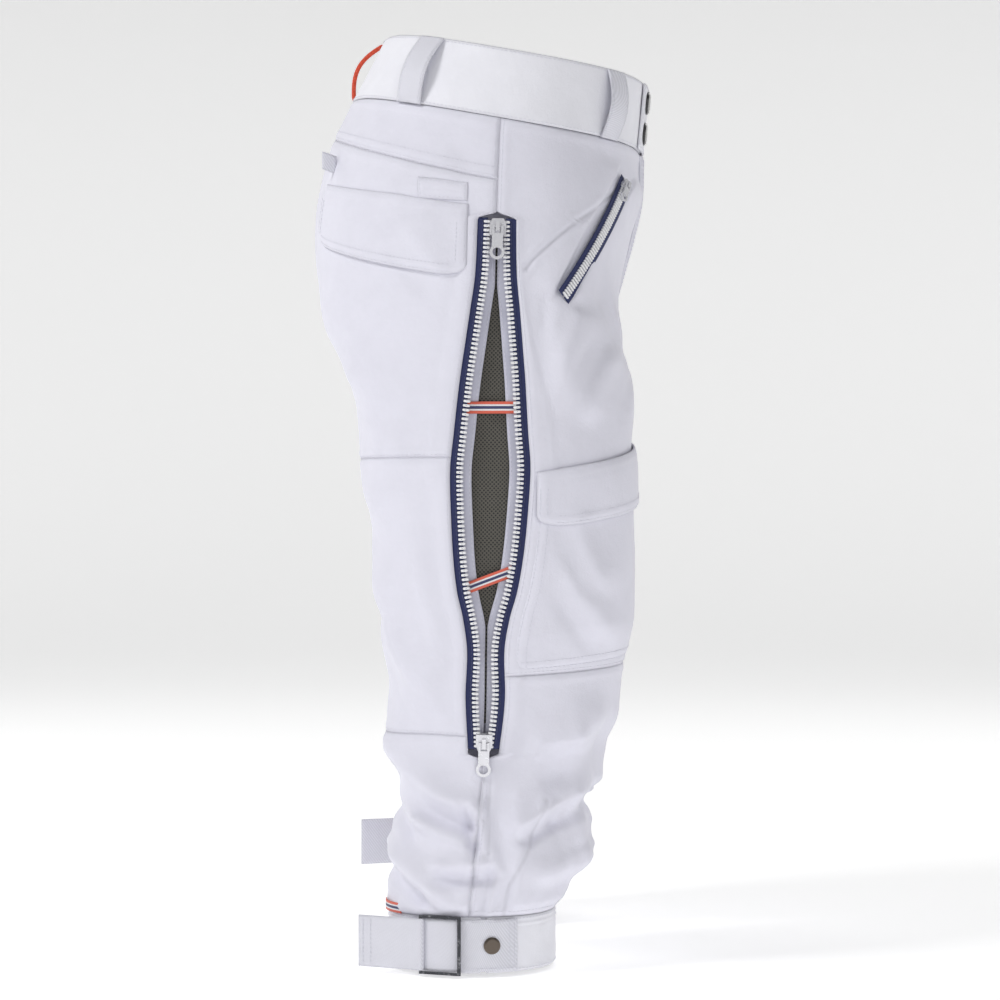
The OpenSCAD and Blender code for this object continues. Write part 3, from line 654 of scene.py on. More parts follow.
@dataclass
class Cloth:
    """A piece of cloth on the form between two heights and two shares round the side."""

    name: str
    side: Side | None
    top: Line
    bottom: Line
    near: Line
    far: Line
    rows: int = 90
    columns: int = 80
    lift: Callable[[Array, Array, Array, Array], Array] = lambda s, t, z, u: 0.6 + over_tape(z, u)
    thick: float = 1.2
    folded: float = 1.0
    relief: bool = True
    flat_edges: tuple[Edge, ...] = ()

    def spot(self, s: Array, t: Array) -> tuple[Array, Array]:
        """Height and share round the side at shares down and across the piece."""
        z = self.top(t) + (self.bottom(t) - self.top(t)) * s
        near, far = self.near(z), self.far(z)
        return z, near + (far - near) * t

    def on_form(self, z: Array, u: Array) -> tuple[Array, Array]:
        """Points and directions of the form; with no side, u is an angle round the trunk."""
        if self.side is None:
            return FORM.around(u, z)
        return FORM.point(self.side, u, z), FORM.normal(self.side, u, z)

    def size(self) -> tuple[float, float]:
        """Rough width and height of the piece, along its middle lines."""
        s, t = np.linspace(0, 1, 40), np.full(40, 0.5)
        down, _ = self.on_form(*self.spot(s, t))
        over, _ = self.on_form(*self.spot(t, s))
        return (
            float(np.linalg.norm(np.diff(over, axis=0), axis=1).sum()),
            float(np.linalg.norm(np.diff(down, axis=0), axis=1).sum())
        )

    def inset(self, s: Array, t: Array) -> Array:
        """Distance in from the nearest edge that has a seam."""
        width, height = self.size()
        gaps = {
            Edge.TOP: s * height, Edge.BOTTOM: (1 - s) * height, Edge.NEAR: t * width, Edge.FAR: (1 - t) * width
        }
        ways = [
            np.broadcast_to(d, np.broadcast(s, t).shape) for e, d in gaps.items() if e not in self.flat_edges
        ]
        return np.minimum.reduce(ways) if ways else np.full(np.broadcast(s, t).shape, 99.0)

    def place(self, s: Array, t: Array, extra: float = 0.0) -> tuple[Array, Array]:
        """Points and outward directions of the outer face.

        The cloth stands off the form by its lift and its folds, dips at its seams and swells beside them.
        """
        z, u = self.spot(s, t)
        off = self.lift(s, t, z, u) + extra
        if self.folded and self.side is not None:
            off = off + self.folded * DRAPE.rise(self.side, u, z)
        if self.relief:
            d = self.inset(s, t)
            off = off - 0.75 * bell(d, 1.3) + 0.5 * bell(d - 5.2, 3.2) - 0.25 * bell(d - 2.4, 0.9)
        p, n = self.on_form(z, u)
        return p + n * off[..., None], n

    def build(self) -> bpy.types.Object:
        """Makes the piece as a grid with a map in metres and a mark for how near its seams are."""
        s, t = np.meshgrid(np.linspace(0, 1, self.rows + 1), np.linspace(0, 1, self.columns + 1), indexing="ij")
        points, outward = self.place(s, t)
        z, u = self.spot(s, t)
        faces = facing_out(points, grid_faces(self.rows + 1, self.columns + 1), outward)
        uv = np.stack([(u - 0.5) * FORM.girth if self.side else u * FORM.girth / 180, z], -1) * 0.001
        seam = self.inset(s, t)
        if self.side and self.folded == 1.0:
            seam = np.minimum(seam, DRAPE.seam_distance(u, DRAPE.depth(u, z), z))
        made = make_mesh(self.name, points, faces, uv=uv, marks={"seam": seam})
        thicken(made, self.thick)
        return made

    def line(
        self, edge: Edge, inset: float, start: float = 0.0, stop: float = 1.0, extra: float = 0.0
    ) -> tuple[Array, Array]:
        """A stitching line that keeps a distance inside one edge.

        Args:
            edge: The edge it follows.
            inset: Its distance inside that edge.
            start: Where it starts along the edge, as a share.
            stop: Where it stops.
            extra: How far it is raised.

        Returns:
            Its points and outward directions.
        """
        width, height = self.size()
        run = np.linspace(start, stop, 220)
        fixed = {
            Edge.TOP: inset / height, Edge.BOTTOM: 1 - inset / height, Edge.NEAR: inset / width,
            Edge.FAR: 1 - inset / width
        }[edge]
        hold = np.full_like(run, fixed)
        return self.place(hold, run, extra) if edge in (Edge.TOP, Edge.BOTTOM) else self.place(run, hold, extra)


def ribbon_grid(name: str, path: Array, over: Array, out: Array, widths: tuple[Array, Array], thick: float,
                columns: int = 6, crown: float = 0.0) -> bpy.types.Object:
    """A flat strip carried along a path: each row runs sideways from one width to the other.

    Args:
        name: The object's name.
        path: The path's points.
        over: The sideways direction at each point.
        out: The outward direction at each point.
        widths: How far it reaches each way at each point.
        thick: Its thickness.
        columns: Faces across it.
        crown: How far its middle stands above its edges.

    Returns:
        The strip, with a map whose second number runs from 0 to 1 across it.
    """
    t = np.linspace(0, 1, columns + 1)[None, :, None]
    low, high = (np.broadcast_to(np.asarray(w, float), (len(path),))[:, None, None] for w in widths)
    points = path[:, None] + over[:, None] * (low + (high - low) * t) + out[:, None] * crown * (4 * t * (1 - t))
    outward = np.broadcast_to(out[:, None], points.shape)
    faces = facing_out(points, grid_faces(len(path), columns + 1), outward)
    run = np.concatenate([[0], np.cumsum(np.linalg.norm(np.diff(path, axis=0), axis=1))]) * 0.001
    uv = np.stack(np.broadcast_arrays(run[:, None], t[..., 0]), -1)
    made = make_mesh(
        name, points, faces, uv=uv,
        marks={"seam": np.broadcast_to(np.minimum(t, 1 - t)[..., 0] * 20, points.shape[:2])}
    )
    thicken(made, thick, 0.0)
    return made


def tube(name: str, path: Array, radius: float, sides: int = 10) -> bpy.types.Object:
    """A round cord along a path, closed at both ends by rings that shrink to a point."""
    ahead = unit(np.gradient(path, axis=0))
    first = unit(np.cross(ahead, np.array([0.3, 0.9, 0.2])))
    second = np.cross(ahead, first)
    w = np.arange(sides) * 2 * math.pi / sides
    grow = np.clip(np.minimum(np.arange(len(path)), np.arange(len(path))[::-1]) / 2, 0.02, 1) ** 0.5
    ring = first[:, None] * np.cos(w)[None, :, None] + second[:, None] * np.sin(w)[None, :, None]
    points = path[:, None] + ring * radius * grow[:, None, None]
    run = np.concatenate([[0], np.cumsum(np.linalg.norm(np.diff(path, axis=0), axis=1))]) * 0.001
    uv = np.stack(np.broadcast_arrays(run[:, None], (w / (2 * math.pi))[None, :]), -1)
    return make_mesh(name, points, facing_out(points, grid_faces(len(path), sides, True), ring), uv=uv)


# ---------------------------------------------------------------- shader maths
class Wire:
    """A shader socket that can be used in arithmetic; each operator adds one Math node."""

    def __init__(self, tree: "Tree", socket: bpy.types.NodeSocket) -> None:
        """Keeps the socket and the tree that it belongs to."""
        self.tree, self.socket = tree, socket

    def _math(self, operation: str, a: "Wire | float", b: "Wire | float" = 0.0) -> "Wire":
        """One Math node of two values."""
        return self.tree.add("ShaderNodeMath", {"operation": operation}, {0: a, 1: b})

    def __add__(self, other: "Wire | float") -> "Wire":
        """The sum."""
        return self._math("ADD", self, other)

    def __radd__(self, other: float) -> "Wire":
        """The sum, with a number first."""
        return self._math("ADD", other, self)

    def __sub__(self, other: "Wire | float") -> "Wire":
        """The difference."""
        return self._math("SUBTRACT", self, other)

    def __rsub__(self, other: float) -> "Wire":
        """A number less this."""
        return self._math("SUBTRACT", other, self)

    def __mul__(self, other: "Wire | float") -> "Wire":
        """The product."""
        return self._math("MULTIPLY", self, other)

    def __rmul__(self, other: float) -> "Wire":
        """The product, with a number first."""
        return self._math("MULTIPLY", other, self)

    def __truediv__(self, other: "Wire | float") -> "Wire":
        """The quotient."""
        return self._math("DIVIDE", self, other)

    def fraction(self) -> "Wire":
        """What is left above the whole number."""
        return self._math("FRACT", self)

    def sine(self) -> "Wire":
        """Its sine."""
        return self._math("SINE", self)

    def root(self) -> "Wire":
        """Its square root."""
        return self._math("SQRT", self)

    def least(self, other: "Wire | float") -> "Wire":
        """The smaller of the two."""
        return self._math("MINIMUM", self, other)

    def step(self, low: float, high: float) -> "Wire":
        """A smooth rise from 0 at one value to 1 at another."""
        return self.tree.add("ShaderNodeMapRange", {"interpolation_type": "SMOOTHSTEP"},
                             {"Value": self, "From Min": low, "From Max": high, "To Min": 0.0, "To Max": 1.0})


Colour = tuple[float, float, float]


class Tree:
    """A material's nodes."""

    def __init__(self, name: str) -> None:
        """Starts a material with only its shader and output."""
        self.material = bpy.data.materials.new(name)
        self.material.use_nodes = True
        self.nodes = self.material.node_tree.nodes
        self.links = self.material.node_tree.links
        self.nodes.clear()
        self.shader = self.nodes.new("ShaderNodeBsdfPrincipled")
        self.links.new(self.shader.outputs[0], self.nodes.new("ShaderNodeOutputMaterial").inputs["Surface"])

    def add(self, kind: str, settings: dict[str, object] | None = None,
            inputs: dict[object, object] | None = None,
            output: int | str = 0) -> Wire:
        """Adds one node.

        Args:
            kind: The node's type.
            settings: Its properties; "stops" gives a ramp's stops.
            inputs: Values or wires for its sockets.
            output: Which output is wanted.

        Returns:
            That output as a wire.
        """
        node = self.nodes.new(kind)
        for key, value in (settings or {}).items():
            if key == "stops":
                ramp = node.color_ramp
                while len(ramp.elements) < len(value):
                    ramp.elements.new(0.5)
                for element, (place, colour) in zip(ramp.elements, value):
                    element.position, element.color = place, (*colour, 1.0)
            else:
                setattr(node, key, value)
        for key, value in (inputs or {}).items():
            self.put(node.inputs[key], value)
        return Wire(self, node.outputs[output])

    def put(self, socket: bpy.types.NodeSocket, value: object) -> None:
        """Links a wire into a socket, or sets a number or colour on it."""
        if isinstance(value, Wire):
            self.links.new(value.socket, socket)
        elif isinstance(value, tuple) and socket.type == "RGBA" and len(value) == 3:
            socket.default_value = (*value, 1.0)
        else:
            socket.default_value = value

    def set(self, **inputs: object) -> None:
        """Sets the shader's own sockets, named with underscores for spaces."""
        for key, value in inputs.items():
            self.put(self.shader.inputs[key.replace("_", " ")], value)

    def noise(self, scale: float, detail: float = 2.0, rough: float = 0.5) -> Wire:
        """Soft noise on object coordinates, in spots per metre."""
        return self.add(
            "ShaderNodeTexNoise", {},
            {"Vector": self.here(), "Scale": scale, "Detail": detail, "Roughness": rough},
        )

    def here(self) -> Wire:
        """The piece's own coordinates, in metres."""
        return self.add("ShaderNodeTexCoord", {}, {}, "Object")

    def mapped(self) -> tuple[Wire, Wire]:
        """The piece's map: along and across the cloth, in metres."""
        split = self.add("ShaderNodeSeparateXYZ", {}, {"Vector": self.add("ShaderNodeTexCoord", {}, {}, "UV")})
        return split, Wire(self, split.socket.node.outputs[1])

    def mark(self, name: str) -> Wire:
        """A mark made on the mesh."""
        return self.add("ShaderNodeAttribute", {"attribute_name": name}, {}, "Fac")

    def mix(self, share: Wire | float, a: Wire | Colour, b: Wire | Colour) -> Wire:
        """Two colours mixed by a share."""
        node = self.nodes.new("ShaderNodeMix")
        node.data_type = "RGBA"
        for key, value in ((0, share), (6, a), (7, b)):
            self.put(node.inputs[key], value)
        return Wire(self, node.outputs[2])

    def bump(self, height: Wire, distance: float, strength: float = 1.0, under: Wire | None = None) -> Wire:
        """Relief from a height, in metres at full height."""
        inputs: dict[object, object] = {"Height": height, "Distance": distance, "Strength": strength}
        if under is not None:
            inputs["Normal"] = under
        return self.add("ShaderNodeBump", {}, inputs)


def shade(c: Colour, by: float) -> Colour:
    """A colour made darker or lighter by a factor."""
    return (min(1.0, c[0] * by), min(1.0, c[1] * by), min(1.0, c[2] * by))


@dataclass(frozen=True)
class Softshell:
    """A matt coated weave: a faint grain, slow tone changes, shade in the seams and a soft sheen."""

    name: str
    colour: Colour
    slot: str
    seamed: bool = True
    sheen: float = 0.2
    grain: float = 1500.0

    def build(self) -> bpy.types.Material:
        """Makes the material."""
        tree = Tree(self.name)
        tone = tree.noise(9.0, 3.0) * 0.6 + tree.noise(60.0, 2.0) * 0.4
        colour = tree.mix(tone.step(0.35, 0.65), shade(self.colour, 0.965), self.colour)
        if self.seamed:
            near = 1.0 - tree.mark("seam").step(0.3, 2.2)
            colour = tree.mix(near * 0.34, colour, shade(self.colour, 0.72))
        threads = tree.noise(self.grain, 1.0)
        pucker = tree.noise(130.0, 3.0, rough=0.6)
        relief = tree.bump(threads, 0.00022, 0.5, tree.bump(pucker, 0.0011, 0.45))
        tree.set(Base_Color=colour, Roughness=tree.noise(300.0) * 0.12 + 0.7, Normal=relief)
        tree.set(Sheen_Weight=self.sheen, Sheen_Roughness=0.5, Specular_IOR_Level=0.3)
        return tree.material


@dataclass(frozen=True)
class Webbing:
    """A woven tape: ribs across it and fine threads along it."""

    name: str
    colour: Colour
    slot: str
    rib: float = 1100.0
    depth: float = 0.00018

    def build(self) -> bpy.types.Material:
        """Makes the material: the ribs are sines of the piece's own coordinates, crossed in a twill."""
        tree = Tree(self.name)
        place = tree.add("ShaderNodeSeparateXYZ", {}, {"Vector": tree.here()})
        y, z = (Wire(tree, place.socket.node.outputs[k]) for k in (1, 2))
        twill = ((z + y * 0.6) * (self.rib * 6.283)).sine() * 0.5 + (
            (y - z * 0.4 + place) * (self.rib * 4.4)
        ).sine() * 0.5
        colour = tree.mix(twill * 0.5 + 0.5, shade(self.colour, 0.8), shade(self.colour, 1.1))
        colour = tree.mix(tree.noise(40.0, 3.0).step(0.4, 0.7) * 0.5, colour, shade(self.colour, 0.9))
        tree.set(Base_Color=colour, Roughness=tree.noise(500.0) * 0.2 + 0.62)
        tree.set(Normal=tree.bump(twill, self.depth, 0.6), Sheen_Weight=0.25, Sheen_Roughness=0.4)
        return tree.material


@dataclass(frozen=True)
class Striped:
    """A woven ribbon with stripes along it: the outer colour, light, dark, light and the outer colour again."""

    name: str
    slot: str
    outer: Colour = (0.78, 0.13, 0.07)
    light: Colour = (0.86, 0.86, 0.88)
    dark: Colour = (0.03, 0.04, 0.13)

    def build(self) -> bpy.types.Material:
        """Makes the material: the stripes are a ramp of the map's second number."""
        tree = Tree(self.name)
        _, over = tree.mapped()
        o, w, d = self.outer, self.light, self.dark
        stops = [(0.0, o), (0.24, w), (0.38, d), (0.62, w), (0.76, o)]
        ramp = tree.add("ShaderNodeValToRGB", {"stops": stops}, {"Fac": over})
        ramp.socket.node.color_ramp.interpolation = "CONSTANT"
        threads = tree.noise(1800.0, 1.0)
        tree.set(Base_Color=tree.mix(threads * 0.3, ramp, (0.1, 0.09, 0.12)), Roughness=threads * 0.2 + 0.6)
        tree.set(Normal=tree.bump(threads, 0.0002, 0.6), Sheen_Weight=0.2)
        return tree.material


@dataclass(frozen=True)
class Perforated:
    """A knitted mesh with staggered round holes, coloured near-black as painted shade of the dark inside seen
    through them.
    """

    name: str
    colour: Colour
    slot: str
    pitch: float = 0.0032

    def build(self) -> bpy.types.Material:
        """Makes the material: a hole lies wherever the nearest point of two crossed lattices is close."""
        tree = Tree(self.name)
        along, over = tree.mapped()

        def lattice(shift: float) -> Wire:
            """Distance to the nearest point of a square lattice, in pitches."""
            x = (along / self.pitch + shift).fraction() - 0.5
            y = (over / self.pitch + shift).fraction() - 0.5
            return (x * x + y * y).root()

        solid = lattice(0.0).least(lattice(0.5)).step(0.17, 0.27)
        knit = tree.noise(2200.0, 1.0)
        cloth = tree.mix(knit, shade(self.colour, 0.75), shade(self.colour, 1.2))
        # painted shade: the holes get a near-black colour standing in for the shaded inside behind them; they
        # are not real openings
        tree.set(Base_Color=tree.mix(solid, (0.012, 0.012, 0.012), cloth), Roughness=0.7)
        tree.set(Normal=tree.bump(solid * 0.8 + knit * 0.2, 0.0004, 0.8), Sheen_Weight=0.15)
        return tree.material


@dataclass(frozen=True)
class Cast:
    """Cast, plated or moulded pieces: fine pitting, faint scratches and worn tone."""

    name: str
    colour: Colour
    slot: str
    metallic: float = 0.0
    rough: float = 0.35
    coat: float = 0.0
    wear: Colour = (0.6, 0.6, 0.62)
    worn: float = 0.15

    def build(self) -> bpy.types.Material:
        """Makes the material."""
        tree = Tree(self.name)
        pits = tree.noise(900.0, 3.0)
        rubbed = tree.noise(170.0, 4.0, rough=0.7).step(0.55, 0.75)
        tree.set(
            Base_Color=tree.mix(
                rubbed * self.worn, tree.mix(pits, shade(self.colour, 0.93), self.colour), self.wear
            )
        )
        tree.set(Roughness=rubbed * 0.15 + (self.rough - 0.03), Normal=tree.bump(pits, 0.00006, 0.5))
        tree.set(Metallic=self.metallic, Coat_Weight=self.coat, Coat_Roughness=0.2)
        return tree.material


Finish = Softshell | Webbing | Striped | Perforated | Cast


@dataclass
class Wardrobe:
    """The finishes, each made once."""

    shell: Softshell = Softshell("white_softshell", (0.745, 0.74, 0.825), "shell")
    band: Softshell = Softshell("white_band_cloth", (0.83, 0.83, 0.885), "band")
    facing: Softshell = Softshell("lavender_facing", (0.60, 0.60, 0.71), "facing", sheen=0.35)
    lining: Softshell = Softshell("dark_lining", (0.05, 0.055, 0.1), "lining", seamed=False, grain=700)
    bag: Softshell = Softshell("light_pocketing", (0.5, 0.5, 0.56), "bag", seamed=False, grain=900)
    webbing: Webbing = Webbing("white_webbing", (0.76, 0.76, 0.83), "webbing")
    navy: Webbing = Webbing("navy_zip_tape", (0.018, 0.026, 0.105), "navy_tape")
    cord: Webbing = Webbing("orange_red_cord", (0.70, 0.075, 0.03), "red_webbing", rib=420, depth=0.0005)
    cord_end: Cast = Cast("black_cord_end", (0.02, 0.02, 0.022), "black_snap")
    ribbon: Striped = Striped("striped_ribbon", "ribbon")
    mesh: Perforated = Perforated("olive_mesh", (0.10, 0.093, 0.078), "mesh")
    teeth: Cast = Cast(
        "white_moulded_teeth", (0.86, 0.86, 0.88), "teeth", rough=0.3, coat=0.2, wear=(0.7, 0.7, 0.74)
    )
    thread: Webbing = Webbing("white_thread", (0.76, 0.755, 0.84), "webbing", rib=2500, depth=0.0001)
    slider: Cast = Cast("pale_die_cast", (0.78, 0.78, 0.82), "slider_metal", 0.35, 0.28, 0.4)
    buckle: Cast = Cast(
        "dark_plated_wire", (0.06, 0.062, 0.07), "buckle_metal", 0.9, 0.25, 0.0, (0.75, 0.75, 0.78), 0.35
    )
    black: Cast = Cast(
        "black_lacquer", (0.012, 0.012, 0.014), "black_snap", 0.2, 0.3, 0.5, (0.25, 0.25, 0.26), 0.3
    )
    bronze: Cast = Cast(
        "dark_antique_plating", (0.14, 0.115, 0.095), "bronze_snap", 0.9, 0.36, 0.0, (0.5, 0.42, 0.34), 0.4
    )
    stud: Cast = Cast("plated_stud", (0.45, 0.45, 0.46), "stud_metal", 0.95, 0.35)
    made: dict[str, bpy.types.Material] = field(default_factory=dict)

    def material(self, finish: Finish) -> bpy.types.Material:
        """The material of a finish, made the first time it is asked for."""
        if finish.name not in self.made:
            self.made[finish.name] = finish.build()
        return self.made[finish.name]

    def dress(
        self, piece: bpy.types.Object, finish: Finish, *nodes: str, body: str | None = SHELL
    ) -> bpy.types.Object:
        """Gives a new piece its finish and the body it rides on, and hides the CAD nodes that it stands for."""
        piece.data.materials.clear()
        piece.data.materials.append(self.material(finish))
        if body is not None:
            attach(piece, body)
        if nodes:
            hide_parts(*nodes)
        return piece

    def dress_node(self, node: str, finish: Finish) -> None:
        """Gives a CAD node that stays in view its finish."""
        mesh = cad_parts[node].data
        mesh.materials.clear()
        mesh.materials.append(self.material(finish))


WARDROBE = Wardrobe()


def as_sheet(piece: bpy.types.Object, cloth: Cloth) -> None:
    """Works out the cells of a cloth's unfolded form, as cross products of their diagonals in metres, and keeps
    nothing.

    Args:
        piece: The mesh; not used.
        cloth: The cloth it was made from.
    """
    s, t = np.meshgrid(np.linspace(0, 1, 30), np.linspace(0, 1, 30), indexing="ij")
    z, u = cloth.spot(s, t)
    p = cloth.on_form(z, u)[0] * 0.001
    cells = np.cross(p[1:, 1:] - p[:-1, :-1], p[1:, :-1] - p[:-1, 1:])


# ---------------------------------------------------------------- shell panels
def level(z: float) -> Line:
    """A line that stays at one height or share."""
    return lambda t: z + 0.0 * np.asarray(t, float)


def slanted(a: float, b: float) -> Line:
    """A line that runs evenly from one height to another."""
    return lambda t: a + (b - a) * np.asarray(t, float)


def before_vent(z: Array) -> Array:
    """The share at which the front panels end beside the vent."""
    return FORM.share_beside(z, -VENT.lip(z))


def behind_vent(z: Array) -> Array:
    """The share at which the back panels begin beside the vent."""
    return FORM.share_beside(z, VENT.lip(z))


@dataclass
class ShellPanels:
    """The six shell panels of one side, with their seams and topstitching."""

    side: Side
    band_line: float = -28.3
    yoke_seam: tuple[float, float] = (-77.0, -54.0)
    knee_seam: tuple[float, float] = (-441.0, -457.0)
    back_seam: float = -290.0
    calf_seam: float = -503.0
    fly_share: float = 0.03
    fly_end: float = -165.0
    welt: float = 3.4

    def front_edge(self, z: Array) -> Array:
        """The share at the centre front, cut back beside the fly's zip."""
        return self.fly_share * ease((z - self.fly_end + 6) / 12)

    def welted(self, s: Array, t: Array, z: Array, u: Array) -> Array:
        """The cloth's lift, raised into two welts beside the hand pocket's zip."""
        y = FORM.point(Side.RIGHT, u, z)[..., 1]
        across, along = HAND_ZIP.distance(y, z)
        ridge = ease((np.abs(across) - 5.8) / 2.2) * ease((28 - np.abs(across)) / 19)
        ends = ease((along + 16) / 14) * ease((122 - along) / 14)
        return 0.6 + over_tape(z, u) + self.welt * ridge * ends * (u < 0.5) * (z > -200)

    def cloths(self) -> dict[str, Cloth]:
        """Each panel by its node's name without the side."""
        side, band = self.side, level(self.band_line)
        yoke, knee = slanted(*self.yoke_seam), slanted(*self.knee_seam)
        back, calf, hem = level(self.back_seam), level(self.calf_seam), level(FORM.hem)
        return {
            "front_thigh_panel": Cloth(
                "", side, band, knee, self.front_edge, before_vent, 210, 120, self.welted
            ),
            "shin_panel": Cloth("", side, knee, hem, level(0), before_vent, 130, 110),
            "yoke": Cloth("", side, band, yoke, lambda z: FORM.share_beside(z, 0.0 * z), level(1), 30, 90),
            "seat_panel": Cloth("", side, yoke, back, behind_vent, level(1), 120, 110),
            "back_thigh_panel": Cloth("", side, back, calf, behind_vent, level(1), 110, 90),
            "calf_panel": Cloth("", side, calf, hem, behind_vent, level(1), 100, 110),
        }

    def build(self, stitches: Stitches) -> None:
        """Makes the panels and adds their topstitching."""
        for kind, cloth in self.cloths().items():
            cloth.name = f"cloth_{kind}_{self.side.word}"
            piece = cloth.build()
            WARDROBE.dress(piece, WARDROBE.shell, f"{kind}_{self.side.word}")
            as_sheet(piece, cloth)
            for edge, inset in {
                "front_thigh_panel": [(Edge.BOTTOM, 2.4), (Edge.FAR, 2.4)],
                "shin_panel": [(Edge.BOTTOM, 5.0), (Edge.FAR, 2.4)],
                "yoke": [(Edge.BOTTOM, 2.4), (Edge.BOTTOM, 8.0), (Edge.NEAR, 2.4)],
                "seat_panel": [(Edge.NEAR, 2.4), (Edge.BOTTOM, 2.4), (Edge.FAR, 2.4)],
                "back_thigh_panel": [(Edge.NEAR, 2.4), (Edge.BOTTOM, 2.4), (Edge.FAR, 2.4)],
                "calf_panel": [(Edge.FAR, 2.4)],
            }[kind]:
                stitches.run(*cloth.line(edge, inset))
            LOG.info("panel %s", cloth.name)


# ---------------------------------------------------------------- waist
@dataclass
class Waist:
    """The waistband with its lining, loops, hanger, buttoning tab and fly."""

    low: float = -28.0
    high: float = 27.0
    ends: tuple[float, float] = (1.5, 358.5)
    loop_angles: tuple[float, ...] = (44, 122, 238, 316)
    loop_half: float = 12.0
    loop_stand: float = 7.0
    cord_d: float = 3.6
    cord_stand: float = 10.4
    tab: tuple[float, float] = (-17.0, 11.0)
    facing: tuple[float, float] = (-8.5, 9.0)

    def crumple(self, s: Array, t: Array, z: Array, a: Array) -> Array:
        """The band's lift: slow waves round it, with its edges turned in."""
        waves = 0.22 * np.sin(a / 5.3 + z / 15) + 0.14 * np.sin(a / 2.1 - z / 9)
        rolled = ease((z - self.low) / 1.6) * ease((self.high + 0.3 - z) / 2.2)
        return 0.2 + (0.85 + waves) * rolled

    def build(self, stitches: Stitches) -> None:
        """Makes every piece that goes round the waist."""
        a0, a1 = self.ends
        band = Cloth("cloth_waistband", None, level(self.high + 0.5), level(self.low), level(a0),
                     level(a1), 30, 420, self.crumple, 1.3, flat_edges=(Edge.NEAR, Edge.FAR), relief=False)
        piece = WARDROBE.dress(band.build(), WARDROBE.band, "waistband")
        as_sheet(piece, band)
        for edge, inset in ((Edge.TOP, 2.6), (Edge.BOTTOM, 1.9)):
            stitches.run(*band.line(edge, inset, extra=0.05))
        lining = Cloth("cloth_waistband_lining", None, level(25.5), level(-26), level(a0), level(a1), 10, 200,
                       lambda s, t, z, a: -1.5 + 0 * z, 0.8, relief=False)
        as_sheet(
            WARDROBE.dress(lining.build(), WARDROBE.lining, "waistband_lining"), lining,
        )
        self.loops(stitches)
        self.hanger()
        self.front(stitches)

    def bowed(
        self, angle: float, stand: float, low: float, high: float, off: float
    ) -> tuple[Array, Array, Array]:
        """A path that leaves the band at its top, bows outward as a half sine and comes back at its seam."""
        s = np.linspace(0, 1, 31)
        path, out = FORM.around(angle + 0 * s, high + (low - high) * s, off + stand * np.sin(math.pi * s))
        beside, _ = FORM.around(angle + 1 + 0 * s, high + (low - high) * s)
        here, _ = FORM.around(angle + 0 * s, high + (low - high) * s)
        return path, unit(beside - here), out

    def loops(self, stitches: Stitches) -> None:
        """The four belt loops, each a webbing strap with its ends turned under and bar-tacked."""
        for i, angle in enumerate(self.loop_angles):
            path, over, out = self.bowed(angle, self.loop_stand, self.low - 1, self.high - 0.5, 1.9)
            loop = ribbon_grid(
                f"belt_loop_{i + 1}", path, over, out, (-self.loop_half, self.loop_half), 1.5, 10, 0.45
            )
            WARDROBE.dress(loop, WARDROBE.webbing, *on_first(i == 0, "belt_loops"))
            for inset in (-self.loop_half + 2, self.loop_half - 2):
                stitches.run(path[1:-1] + over[1:-1] * inset + out[1:-1] * 0.85, out[1:-1])
            for k in (1, 2, -3, -2):
                reach = np.linspace(-self.loop_half + 2, self.loop_half - 2, 9)[:, None]
                stitches.run(path[k] + over[k] * reach + out[k] * 0.9, np.repeat(out[k][None], 9, 0))

    def hanger(self) -> None:
        """The hanger at the centre back: a round braided cord with a moulded end-piece at its top."""
        path, _, _ = self.bowed(180, self.cord_stand, self.low + 3, self.high + 1.2, 2.4)
        cord = tube("hanger_cord", path, self.cord_d / 2, 12)
        WARDROBE.dress(cord, WARDROBE.cord, "back_ribbon_loop")
        end = rounded_block((7.5, 5.4, 8.5), 9, 14, 0.6)
        p, f = repeated(*end, path[:1] + np.array([0, -0.6, -1.6]), np.eye(3)[None])
        piece = WARDROBE.dress(make_mesh("hanger_cord_end", p, f), WARDROBE.cord_end)
        tuple(path[0] * 0.001)
        (path * 0.001).tolist()

    def front(self, stitches: Stitches) -> None:
        """The buttoning tab, the fly's facing and the zip under it."""
        t0, t1 = self.tab
        tab = Cloth("cloth_waist_tab", None, level(self.high), level(self.low), level(t0), level(t1 + 2.2),
                    24, 60,
                    lambda s, t, z, a: 3.4 + 0.5 * bell(s - 0.5, 0.5) - 1.6 * ease((a - t1) / 2.2), 1.3)
        piece = WARDROBE.dress(tab.build(), WARDROBE.band, "waist_tab", body=None)
        hinge = [FORM.around(np.array(a), np.array(0.0))[0] * 0.001 for a in (t1, t1 - 4.5)]
        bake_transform(piece)
        as_sheet(piece, tab)
        seams = Stitches("waist_tab_stitches", "waist_tab")
        for edge in (Edge.TOP, Edge.BOTTOM, Edge.NEAR):
            seams.run(*tab.line(edge, 2.6, 0.04, 0.8 if edge is not Edge.NEAR else 0.96))
        WARDROBE.dress(seams.build(), WARDROBE.thread, body="waist_tab")
        f0, f1 = self.facing
        facing = Cloth("cloth_fly_facing", None, level(-30.0), level(-174.0), level(f0), level(f1), 120, 40,
                       lambda s, t, z, a: 1.9 + 2.2 * ease((8 - np.abs(a)) / 2.4) + 0.3 * np.sin(z / 9), 1.0)
        as_sheet(
            WARDROBE.dress(facing.build(), WARDROBE.shell, "fly_facing"), facing,
        )
        s = np.linspace(0, 1, 160)
        bend = ease((s - 0.72) / 0.28) ** 1.5
        stitches.run(*facing.place(0.02 + 0.95 * s, 0.12 + 0.36 * bend, 0.1))
        stitches.run(*facing.place(0.02 + 0.97 * s, 0.06 + 0.0 * s, 0.1))
        stitches.run(*facing.place(0.02 + 0.97 * s, 0.94 + 0.0 * s, 0.1))
        fly = Arc.through(*(self.fly_point(z) for z in (-40.0, -98.0, -156.0)))
        ClosedZip("fly", fly, Side.RIGHT, WARDROBE.webbing, "fly_chain").build()

